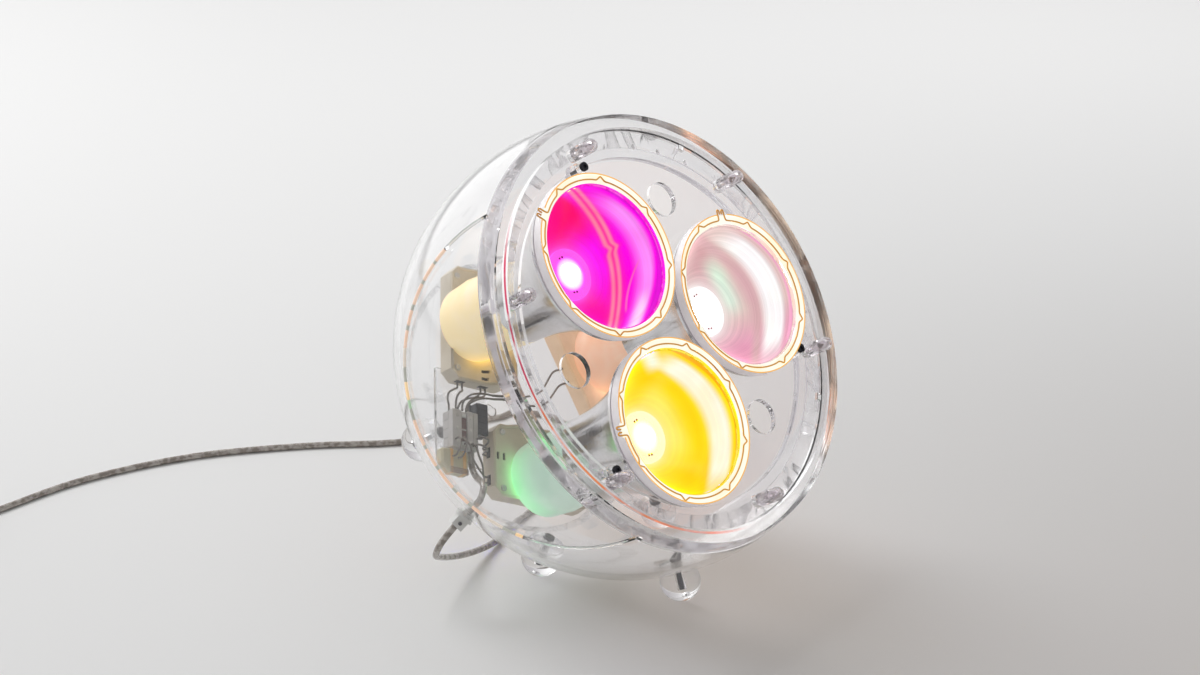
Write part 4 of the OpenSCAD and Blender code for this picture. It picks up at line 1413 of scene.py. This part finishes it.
    def build(self) -> None:
        """Lays both lengths, dresses the switch and the plug, and adds the switch fittings, the coil tie and
        the plug relief.
        """
        for node, finish in (("switch_base", SWITCH), ("switch_cover", SWITCH), ("rocker", ROCKER),
                             ("plug_body", PLUG), ("plug_pins", PIN_METAL)):
            dress(node, finish)
        nodes = frame["nodes"]
        path = self.route()
        leave = (Vector(LAYOUT.globe_mid) + self.clamp_outer * self.gland_axis()) * MM
        self.lay("lamp_cord", path, "cord")
        tuple(leave)
        self.length(path)
        self.diameter * MM
        nodes["switch_base"]
        nodes["switch_cover"]
        nodes["rocker"]
        self.switch_fittings()
        path = self.coil()
        self.lay("plug_cord", path, "cord_coil")
        tuple(Vector(self.coil_from) * MM)
        self.length(path)
        self.diameter * MM
        nodes["plug_body"]
        nodes["plug_pins"]
        self.tie()
        self.plug_relief()


@dataclass
class Globe:
    """Clear shells, plate, pins, screws and ball feet."""
    pin_circle_r: float = 124.54
    pin_r: float = 4.5
    pin_turn: float = 35.0
    pin_tip: float = 62.0
    pin_foot: float = 35.5
    bore_r: float = 2.1
    stud_r: float = 2.0
    stud_tip: float = 161.0
    stud_head: float = 145.9
    thread_pitch: float = 0.8
    thread_depth: float = 0.36
    bead_r: float = 1.15
    joint_level: float = 104.4
    joint_arc: Point = (21.0, 138.0)
    joint_ends: Point = (2.0, 178.0)
    joint_out: Point = (-0.9225, 0.0, 0.3859)
    joint_side: Point = (-0.3859, 0.0, -0.9225)
    joint_lift: float = 0.35
    bead_steps: int = 8
    floor_foot: Point = (-100.0, 21.0)
    rear_foot: Point = (180.0, 27.0)

    def pins(self) -> bpy.types.Object:
        """Six clear pins with a moulded bore and a rounded end.

        Returns:
            The piece.
        """
        form = Former()
        r, tip, foot, bore = self.pin_r, self.pin_tip, self.pin_foot, self.bore_r
        dome = [(r * math.sin(a), tip - r + r * math.cos(a)) for a in
                (math.radians(90 - 10 * i) for i in range(8))]
        face, neck = LAYOUT.plate_front, tip - r
        profile = [(bore * 0.4, foot), (r - 0.5, foot), (r - 0.2, foot + 0.3), (r - 0.2, face + 0.4),
                   (r, face + 0.9), (r, neck - 4.2), (r - 0.35, neck - 3.9), (r - 0.35, neck - 3.3),
                   (r, neck - 3.0), *dome, (bore * 0.62, tip - 0.35), (bore * 0.6, tip - 3.0),
                   (bore, tip - 3.4), (bore, face + 3), (bore * 0.5, face + 1.5), (bore * 0.4, foot)]
        for k in range(6):
            turn = Matrix.Rotation(math.radians(self.pin_turn + 60 * k), 4, "Z")
            axes = LAYOUT.beam() @ turn @ Matrix.Translation((self.pin_circle_r, 0, 0))
            form.lathe(profile, axes, PIN_CLEAR, 36, caps=False)
        return form.piece("pins", slot="clear_pin", replaces=["plate_pins"])

    def joint(self) -> bpy.types.Object:
        """Bead along the joint line on the globe's left side: coloured lengths, clear towards the rim.

        Returns:
            The piece.
        """
        form, axes = Former(), LAYOUT.beam()
        out, side, up = Vector(self.joint_out), Vector(self.joint_side), Vector((0, 1, 0))
        reach = math.sqrt((LAYOUT.globe_r + self.joint_lift) ** 2 - self.joint_level ** 2)
        first, last = self.joint_arc
        start, end = self.joint_ends
        lengths, turn = [(ACRYLIC, start, first)], first
        for finish, span in itertools.cycle(JOINT_RUN):
            lengths.append((finish, turn, min(turn + span, last)))
            turn += span
            if turn > last - 1:
                break
        for finish, low, high in lengths + [(ACRYLIC, last, end)]:
            turns = [math.radians(low + (high - low) * i / self.bead_steps)
                     for i in range(self.bead_steps + 1)]
            path = [axes @ (self.joint_level * out + reach * (math.cos(a) * up + math.sin(a) * side))
                    for a in turns]
            form.tube(path, self.bead_r, finish, 8, axes.to_3x3() @ out)
        return form.piece("joint_bead", slot="holder_beige")

    def stud(self, form: Former, axes: Matrix) -> None:
        """One threaded stud with a round head inside the shell.

        Args:
            form: piece that it is added to.
            axes: frame in millimetres.
        """
        sides, low, high = 20, self.stud_head - 0.05, self.stud_tip
        count = round((high - low) / self.thread_pitch * 6)
        rows = []
        for i in range(count + 1):
            z = low + (high - low) * i / count
            taper = min(1.0, (high - z) / 0.8)
            row = []
            for k in range(sides):
                phase = (z / self.thread_pitch - k / sides) % 1
                cut = abs(2 * phase - 1) * self.thread_depth
                r = (self.stud_r - cut) * (0.82 + 0.18 * taper)
                angle = 2 * math.pi * k / sides
                row.append(axes @ Vector((r * math.cos(angle), r * math.sin(angle), z)))
            rows.append(row)
        form.grid(rows, STEEL)
        h = self.stud_head
        head = [(1.2, h - 2.0), (1.3, h - 3), (3.4, h - 3), (3.9, h - 2.5), (4, h - 0.4), (3.7, h), (0.5, h)]
        form.lathe(head, axes, STEEL, 30)

    def feet(self) -> None:
        """Dresses the balls and threads their studs."""
        floor, rear = Former(), Former()
        for k in LAMPS:
            for form, axes, (turn, spread) in ((floor, LAYOUT.globe(), self.floor_foot),
                                               (rear, LAYOUT.beam(), self.rear_foot)):
                self.stud(form, axes @ LAYOUT.outward(turn + 120 * (k - 1), spread))
            dress(f"foot_{k}", CLEAR_SMALL)
            dress(f"rear_foot_{k}", CLEAR_SMALL)
        floor.piece("floor_studs", slot="stud_steel", replaces=["foot_studs"])
        rear.piece("rear_studs", slot="stud_steel", replaces=["rear_foot_studs"])

    def build(self) -> None:
        """Dresses the shells and makes the bead, the pins and the studs."""
        dress("front_shell", RIMMED)
        dress("rear_shell", ACRYLIC)
        dress("front_plate", PLATE)
        for k in LAMPS:
            dress(f"plate_screw_{k}", BLACKED)
        self.joint()
        self.pins()
        self.feet()


@dataclass
class SpotLamp:
    """One spot lamp: reflector, bell, cup, holder, bulb, filter and ring."""
    colour: LampColour
    bowl: SpunBowl
    cup: Frosted
    glass: FilterGlass
    holder: LitHolder
    plate: LitPlate
    # Finish of the thin sheets that paint the shade of the bulb plate's notches.
    notch: Moulded
    ear_turn: float
    wire_r: float = 0.52
    ring_r: float = 50.1
    ring_z: float = 52.8
    ear_tip: float = 57.41
    kink_h: float = 2.6
    kinks: int = 8

    def ring(self) -> bpy.types.Object:
        """Kinked wire ring with two ears.

        Returns:
            The piece.
        """
        ear = [(self.ear_tip - 3, 1.0), (self.ear_tip - 0.8, 1.0), (self.ear_tip, 1.9),
               (self.ear_tip - 0.8, 2.8), (self.ring_r + 1, 3.4)]
        turn = []
        for i in range(self.kinks):
            middle = 3.4 + (i + 0.5) * 353.2 / self.kinks
            for part in (-5, -4, -3, -2, -1, -0.35, 0, 0.35, 1, 2, 3, 4, 5):
                lift = self.kink_h * max(0.0, 1 - abs(part))
                turn.append((self.ring_r + lift, middle + part * 4))
        polar = ear + turn + [(r, -a) for r, a in reversed(ear)]
        axes = LAYOUT.lamp(self.colour.value) @ Matrix.Rotation(math.radians(self.ear_turn), 4, "Z")
        path = [axes @ Vector((r * math.cos(math.radians(a)), r * math.sin(math.radians(a)), self.ring_z))
                for r, a in polar]
        form = Former()
        form.tube(smooth_path(path, 3), self.wire_r, COPPER, 8, axes.col[2].to_3d())
        number = self.colour.value
        return form.piece(f"ring_{number}", f"filter_{number}", "ring_wire", [f"filter_ring_{number}"])

    def fittings(self) -> bpy.types.Object:
        """Border, sockets, screws and slots of the holder, with dark blocks in the slots that paint their
        shade, and thin dark sheets on the bulb plate that paint the shade of its notches.

        Returns:
            The piece.
        """
        axes = LAYOUT.holder(self.colour.value)
        form = Former()
        rear, front = LAYOUT.holder_rear, LAYOUT.cup_end
        w, h = LAYOUT.holder_half
        corner = [(w - 1.3, 34.4), (19.4, h - 1.3)]
        quarter = corner + [(-x, y) for x, y in reversed(corner)]
        border = quarter + [(-x, -y) for x, y in quarter]
        loop = [axes @ Vector((x, y, front)) for x, y in border + border[:1]]
        form.tube(loop, 1.0, self.holder, 8, axes.col[2].to_3d())
        for side in (-1, 1):
            for along in (-5, 14):
                low, high = sorted((side * (h - 2.0), side * (h + 0.25)))
                form.box((along - 3.7, low, rear + 4.0), (along + 3.7, high, rear + 8.2), axes, SOCKET, 0.5)
            # Dark blocks in the slots: painted shade.
            for slot in (31.5, 36.5):
                form.box((-4.9, side * slot - 0.9, front - 3), (-0.1, side * slot + 0.9, front - 0.7),
                         axes, SOCKET, 0.1)
            for across in (-19.5, 19.5):
                place = axes @ Matrix.Translation((across, side * 32.5, front))
                form.lathe([(0.6, -0.5), (2.2, -0.5), (2.3, 0.5), (1.9, 1.0), (1.1, 1.1), (0.8, 0.6),
                            (0.3, 0.6)], place, LIGHT_STEEL, 24)
        level = LAYOUT.level_lamp(self.colour.value)
        # Thin dark sheets on the bulb plate: painted shade of its notches.
        for angle in (97, -100):
            notch = level @ Matrix.Rotation(math.radians(angle), 4, "Z")
            for across in (-1.9, 0.5):
                form.box((10.9, across, 14.2), (12.5, across + 1.4, 14.45), notch, self.notch, 0.1, 1)
        return form.piece(f"holder_fittings_{self.colour.value}", slot="holder_beige")

    def build(self) -> None:
        """Dresses the nodes and adds the ring and the fittings."""
        number = self.colour.value
        bell = TurnedMetal(f"bell_silver_{number}", (0.78, 0.78, 0.79), (0.66, 0.65, 0.64), 0.07,
                           LAYOUT.lamp(number), 0.9, 0.05)
        for node, finish in (("reflector", self.bowl), ("bell", bell), ("cup", self.cup),
                             ("holder", self.holder), ("bulb", LitBulb("bulb_glow")),
                             ("bulb_plate", self.plate), ("filter", self.glass)):
            dress(f"{node}_{number}", finish)
        bulb = frame["nodes"][f"bulb_{number}"]
        bulb.visible_diffuse = bulb.visible_glossy = False
        self.ring()
        self.fittings()


@dataclass
class Electrics:
    """Bracket, terminal block, relay, transformer, wires, gland and clamp.

    Places are in the bench frame, or from the low corner of the terminal block in it.
    """
    block_low: Point = (-73.0, -54.985, -102.5412)
    block_size: Point = (21.0, 26.0, 12.0)
    relay_low: Point = (21.3, 12.5, 0.0)
    relay_size: Point = (10.0, 22.5, 9.6)
    winding_low: Point = (-8.264, -18.0, 3.6)
    winding_size: Point = (21.264, 16.0, 8.0)
    winding_corner: float = 6.0
    foot_low: Point = (-1.0, -7.0, 0.0)
    foot_size: Point = (14.0, 5.0, 3.7)
    lead_r: float = 0.7
    supply_r: float = 2.25
    clamp_mid: float = 155.6
    clamp_face: float = -3.75

    def axes(self, place: Point = (0, 0, 0)) -> Matrix:
        """Frame at a place from the low corner of the block."""
        return LAYOUT.bench() @ Matrix.Translation(self.block_low) @ Matrix.Translation(place)

    def block(self) -> bpy.types.Object:
        """Terminal block: upright strips with a column of windows, and clamping screws.

        Returns:
            The piece.
        """
        axes = self.axes()
        w, h, d = self.block_size
        form = Former()
        form.box((0.4, 0.3, 0), (w - 0.4, h - 0.3, d - 2.2), axes, GREY_BLOCK, 0.4)
        for low, high, top in ((0.0, 7.5, d), (12.4, 16.8, d), (17.3, w, d - 0.5)):
            form.box((low, 0, d - 4.5), (high, h, top), axes, GREY_BLOCK, 0.6, 3)
        for low, high in ((5.5, 12.6), (13.4, 21.3)):
            form.box((7.7, low, d - 2.4), (12.2, high, d - 1.3), axes, WINDOW, 0.4)
        for low, high in ((2.0, 4.6), (12.6, 13.4), (21.8, 24.4)):
            form.box((8.2, low, d - 2.4), (11.8, high, d - 1.0), axes, GLAND, 0.3)
        for low in (1.2, 7.4, 13.6, 19.8):
            form.box((0.05, low, 0.6), (0.8, low + 4.4, d - 5), axes, GREY_BLOCK, 0.3)
        for y in (4.4, 13.0, 21.6):
            for x in (3.7, 14.6):
                place = axes @ Matrix.Translation((x, y, d))
                form.lathe([(0.3, -0.4), (1.2, -0.4), (1.2, 0.1), (0.9, 0.3), (0.3, 0.3)],
                           place, LIGHT_STEEL, 16)
        return form.piece("block", slot="terminal_grey", replaces=["terminal_block"])

    def relay(self) -> bpy.types.Object:
        """Relay with a rounded case and a base flange.

        Returns:
            The piece.
        """
        axes = self.axes(self.relay_low)
        w, h, d = self.relay_size
        form = Former()
        form.box((0.3, 0.3, 2.4), (w - 0.3, h - 0.3, d), axes, DARK_BOX, 0.9, 3)
        form.box((0, 0, 0), (w, h, 2.6), axes, DARK_BOX, 0.3)
        for y in (4.0, 8.6, 13.2, 17.8):
            form.box((2.0, y, d - 0.2), (w - 2.0, y + 1.1, d + 0.15), axes, DARK_BOX, 0.15, 1)
        return form.piece("relay_case", slot="relay_black", replaces=["relay"])

    def transformer(self) -> bpy.types.Object:
        """Transformer: taped winding over a brown core, on a foot.

        Returns:
            The piece.
        """
        axes = self.axes(self.winding_low)
        w, h, d = self.winding_size
        c = self.winding_corner
        outline = [(c, 0), (w - 1, 0), (w, 1), (w, h - 1), (w - 1, h), (1, h), (0, h - 1), (0, c)]
        form = Former()
        form.slab(outline, 0.1, d - 0.2, axes, WINDING, 1.2)
        for low, high, bottom in ((6.4, 9.0, -0.1), (16.4, 19.4, -0.1)):
            form.box((low, bottom, 0), (high, h + 0.15, d), axes, TAPE, 0.5, 3)
        for i in range(4):
            form.box((c + 0.4, 0.2 + i * 1.0, 0.6), (w - 0.3, 1.0 + i * 1.0, d + 0.05), axes, CORE, 0.12, 1)
        form.box((0, 0, 0), self.foot_size, self.axes(self.foot_low), BEIGE, 0.4)
        return form.piece("transformer_unit", slot="transformer_tape", replaces=["transformer"])

    def holder_point(self, number: int, along: float, side: float) -> Vector:
        """Place on the middle plane of a holder, from the low corner of the block."""
        place = LAYOUT.holder(number) @ Vector((along, side, (LAYOUT.cup_end + LAYOUT.holder_rear) / 2))
        return self.axes().inverted() @ place

    def wire_routes(self) -> list[tuple[Point, list[list[Point]]]]:
        """Routes of the wires, in groups that share the axis that none of them runs along.

        Returns:
            Each group's axis and its routes.
        """
        h, d = self.block_size[1:]

        def top(x: float, z: float, *way: Point) -> list[Point]:
            """Out of the block's top, then along places given from there."""
            return [(x, h + 0.3, z), (x, h + 4.3, z)] + [(p[0], h + p[1], p[2]) for p in way]

        def front(x: float, y: float, *way: Point) -> list[Point]:
            """Out of the block's front."""
            return [(x, y, d + 0.3), (x, y, d + 4.3), *way]

        def end(number: int, along: float, side: float) -> list[Point]:
            """Into the end of a holder."""
            return [self.holder_point(number, along, side * reach) for reach in (44.3, 40.3)]

        def face(side: float) -> list[Point]:
            """Into the inner face of the first holder."""
            return [self.holder_point(1, along, side) for along in (-37.3, -29.3, -25.3)]

        upper = [
            top(2, 5, (0.5, 8, 6), (0.5, 12, 7.5), (4.5, 15, 7.5)) + end(2, 16, 1),
            top(6, 7.5, (5, 8.5, 10), (6.5, 12, 11), (10, 14.5, 9.5)) + end(2, 12, 1),
            top(10.5, 3.5, (13, 9, 4), (18, 12, 4.5), (24, 14, 5)) + end(2, -3, 1),
            top(15.5, 6, (16.5, 8, 8), (20.5, 11.5, 9.5), (27, 13.5, 9)) + end(2, -7, 1),
            top(9.5, 10, (10.5, 8, 12), (15, 11.5, 15), (26, 13, 16.5), (42, 12.5, 16), (60, 18, 13),
                (76, 28, 9)) + face(5),
            top(14, 10, (15, 6.5, 13.5), (20, 8.5, 18), (31, 9, 20), (46, 7.5, 19), (64, 11, 15),
                (80, 20.5, 10)) + face(-5),
        ]
        lower = [
            front(9, 2.5, (9.5, -1.5, 19), (10.5, -8, 19), (15, -14, 18.5), (21.5, -17.5, 15.5),
                  (26, -18.4, 10)) + end(3, 16, -1),
            front(13.5, 2.5, (14.2, -0.5, 18.6), (16, -5.5, 18.4), (20.5, -10.5, 16),
                  (25, -13.4, 10.5)) + end(3, 12, -1),
        ]
        across = [
            front(16, 2.5, (17.5, 1.5, 19.3), (21, 0, 20), (24.4, -0.2, 16.5),
                  (26, 0.2, 11)) + end(3, -3, -1),
            front(19.5, 8, (20.5, 7.4, 18.6), (23.6, 6.4, 18.8), (26, 5.6, 15),
                  (27, 5, 10.5)) + end(3, -7, -1),
        ]
        near = [
            front(2, 5, (1.6, 2, 18.6), (0.6, -3, 18.8)) + [(0, -7, 15.9), (0, -7, 11.9)],
            front(6, 5, (5.8, 2, 19), (5, -3.5, 19.2)) + [(4.5, -7.5, 15.9), (4.5, -7.5, 11.9)],
        ]
        return [((0, -0.45, 0.89), upper), ((0.5, 0.7, 0.5), lower), ((0, 1, 0), across), ((1, 0, 0), near)]

    def wires(self) -> None:
        """Wires between the electrics, and the supply lead from the gland."""
        axes = self.axes()
        form = Former()
        for side_axis, routes in self.wire_routes():
            for route in routes:
                form.tube([axes @ p for p in smooth_path(route, 8)], self.lead_r, WIRE, 10,
                          axes.to_3x3() @ Vector(side_axis))
        form.piece("wires", slot="wire_grey", replaces=["wiring"])
        out = LAYOUT.outward(LAYOUT.gland_turn, LAYOUT.gland_spread).to_3x3() @ Vector((0, 0, 1))
        back = axes.inverted() @ LAYOUT.beam()
        lead = [back @ (out * (LAYOUT.gland_inner - step)) for step in (0.3, 5)]
        lead += [(16.5, -27, 22), (17.5, -18, 12.5), (17.5, -10.3, 8.2), (17.5, -5.3, 7.6), (17.5, -0.3, 7.6)]
        form = Former()
        form.tube([axes @ p for p in smooth_path(lead, 8)], self.supply_r, SHEATH, 14, axes.col[0].to_3d())
        form.piece("supply", slot="cord_sheath", replaces=["supply_lead"])

    def clamp_screw(self) -> bpy.types.Object:
        """Slotted screw head on the cord clamp.

        Returns:
            The piece.
        """
        axes = (LAYOUT.beam() @ LAYOUT.outward(LAYOUT.gland_turn, LAYOUT.gland_spread)
                @ Matrix.Translation((self.clamp_face, 0, self.clamp_mid))
                @ Matrix.Rotation(math.radians(-90), 4, "Y"))
        form = Former()
        form.lathe([(0.3, -0.2), (1.2, -0.2), (1.2, 0.8), (0.9, 1.1), (0.4, 1.2)], axes, STEEL, 24)
        form.box((-1.0, -0.2, 1.0), (1.0, 0.2, 1.19), axes, BLACKED, 0.05, 1)
        return form.piece("clamp_screw_head", slot="stud_steel", replaces=["clamp_screw"])

    def build(self) -> None:
        """Dresses the nodes and builds the detailed pieces."""
        dress("bracket", CLEAR_SMALL)
        dress("gland", GLAND)
        dress("cord_clamp", GLAND)
        for make in (self.block, self.relay, self.transformer, self.wires, self.clamp_screw):
            make()


# Painted light in each bowl: tone patches of painted glow, painted highlights and painted reflections of the
# rim wire.
PINK_TOUCHES = (
    Touch((206, 155, 160), 10, 200, 26, 0.0, heights=(6, 34, 90, 91), soft=0.5),
    Touch((228, 152, 182), 0, 200, 200, 0.0, heights=(-90, -89, -34, -10)),
    Touch((216, 134, 160), 12, 100, 24, 0.0, heights=(-90, -89, -48, -28)),
    Touch((212, 232, 214), 29, 10, 10, 0.003, heights=(-16, 0, 16, 36)),
    Touch((212, 166, 172), 43.3, 6.5, 6.5, heights=(-56, -42, 40, 52), weight=0.9),
    Touch((255, 251, 252), 57, 11.5, 8.5, 0.0096, 1.0, (-50, -32, 28, 46), 0.6),
    Touch((240, 165, 198), 69, 3.2, 30, 0.0096, 1.0, soft=0.5),
)
MAGENTA_TOUCHES = (
    Touch((255, 0, 140), 4, 100, 22, 0.0, soft=0.6),
    Touch((255, 0, 240), 30, 15, 30, 0.004, heights=(-24, -4, 10, 26), soft=0.7),
    Touch((255, 0, 95), 12, 200, 30, 0.0, heights=(6, 34, 90, 91), soft=0.5),
    Touch((255, 0, 150), 0, 200, 34, 0.0, heights=(-90, -89, -40, -14), soft=0.5),
    Touch((255, 0, 232), 72, 30, 60, soft=0.3),
    Touch((255, 45, 145), 40.6, 8.5, 8.5, 0.0064, 14, weight=0.9, kink=2.0),
    Touch((255, 150, 160), 38.5, 2.6, 2.4, 0.0064, 14, soft=1.0, weight=0.75, kink=2.0),
    Touch((255, 152, 166), 42.8, 2.3, 2.3, 0.0064, 14, soft=1.0, weight=0.75, kink=2.0),
    Touch((255, 150, 255), 61.5, 13, 5, 0.011, 2, (-60, -50, 22, 44), 0.9, 0.9),
    Touch((255, 228, 255), 60, 8, 5, 0.011, 2, (-60, -50, -40, -26)),
    Touch((255, 115, 185), 29.5, 1.2, 1.2, -0.0145, -50.5, (-38, -34, -13, -8), 0.7, 0.7),
    Touch((222, 14, 212), 69, 3.0, 30, 0.011, 2, soft=0.5),
)
YELLOW_TOUCHES = (
    Touch((255, 212, 0), 0, 200, 200, 0.0, heights=(10, 36, 90, 91)),
    Touch((255, 210, 0), 0, 200, 200, 0.0, heights=(-90, -89, -38, -14)),
    Touch((255, 238, 96), 28, 13, 11, 0.004, heights=(-28, -8, 14, 34)),
    Touch((255, 218, 6), 43, 6, 5, weight=0.8),
    Touch((255, 252, 232), 58, 11.5, 8, 0.0096, -2, (-52, -36, 30, 46), 0.6),
    Touch((250, 172, 20), 69, 2.6, 30, 0.0096, -2, soft=0.5),
    Touch((240, 250, 238), 34, 8, 8, 0.0, heights=(33, 41, 48, 54)),
)


def spot_lamps() -> list[SpotLamp]:
    """The three spot lamps with their colours.

    Returns:
        The lamps in order.
    """
    beige, grime = BEIGE.colour, BEIGE.grime
    return [
        SpotLamp(
            LampColour.PINK,
            SpunBowl("bowl_pink", LampColour.PINK, PINK_GLASS, (220, 186, 184), (255, 250, 250),
                     PINK_TOUCHES),
            Frosted("cup_peach", 1, screen(232, 184, 156), screen(240, 170, 120), (0.0, -1.0), 0.42),
            FilterGlass("filter_pink", PINK_GLASS, (0.94, 0.72, 0.74)),
            LitHolder("holder_pink", beige, grime, number=1, glow=screen(246, 190, 146),
                      glow_side=(0.0, -1.0), fill=0.3),
            LitPlate("plate_pink", LampColour.PINK, behind(PINK_GLASS, 255, 253, 253)),
            Moulded("notch_pink", screen(190, 150, 150), screen(150, 110, 110)), 77.0),
        SpotLamp(
            LampColour.MAGENTA,
            SpunBowl("bowl_magenta", LampColour.MAGENTA, MAGENTA_GLASS, (255, 0, 205), (255, 95, 250),
                     MAGENTA_TOUCHES),
            Frosted("cup_cream", 2, screen(254, 230, 174), screen(255, 208, 110), (0.3, -0.95), 0.26),
            FilterGlass("filter_magenta", MAGENTA_GLASS, (1.0, 0.01, 0.78)),
            LitHolder("holder_magenta", beige, grime, number=2, glow=screen(255, 205, 60),
                      glow_side=(0.3, -0.95)),
            LitPlate("plate_magenta", LampColour.MAGENTA, behind(MAGENTA_GLASS, 252, 95, 235)),
            Moulded("notch_magenta", screen(120, 60, 90), screen(90, 40, 60)), 14.0),
        SpotLamp(
            LampColour.YELLOW,
            SpunBowl("bowl_yellow", LampColour.YELLOW, YELLOW_GLASS, (255, 226, 30), (255, 250, 185),
                     YELLOW_TOUCHES, 0.5),
            Frosted("cup_green", 3, screen(186, 218, 198), screen(130, 232, 150), (-1.0, 0.0), 0.27),
            FilterGlass("filter_yellow", YELLOW_GLASS, (1.0, 0.72, 0.01)),
            LitHolder("holder_yellow", beige, grime, number=3, glow=screen(120, 235, 140),
                      glow_side=(-1.0, 0.0)),
            LitPlate("plate_yellow", LampColour.YELLOW, behind(YELLOW_GLASS, 255, 248, 205)),
            Moulded("notch_yellow", screen(210, 140, 40), screen(160, 100, 30)), -72.0),
    ]


def main() -> None:
    """Builds the view, the cords and every sub-assembly."""
    logging.basicConfig(level=logging.INFO, format="%(message)s")
    Studio().build()
    Cords().build()
    Globe().build()
    for lamp in spot_lamps():
        lamp.build()
    Electrics().build()
    boxes = {"cad": [list(corner) for corner in CAD_BOX],
             "visual": [list(corner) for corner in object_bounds()]}
    log.info("boxes %s", boxes)


if __name__ == "__main__":
    main()
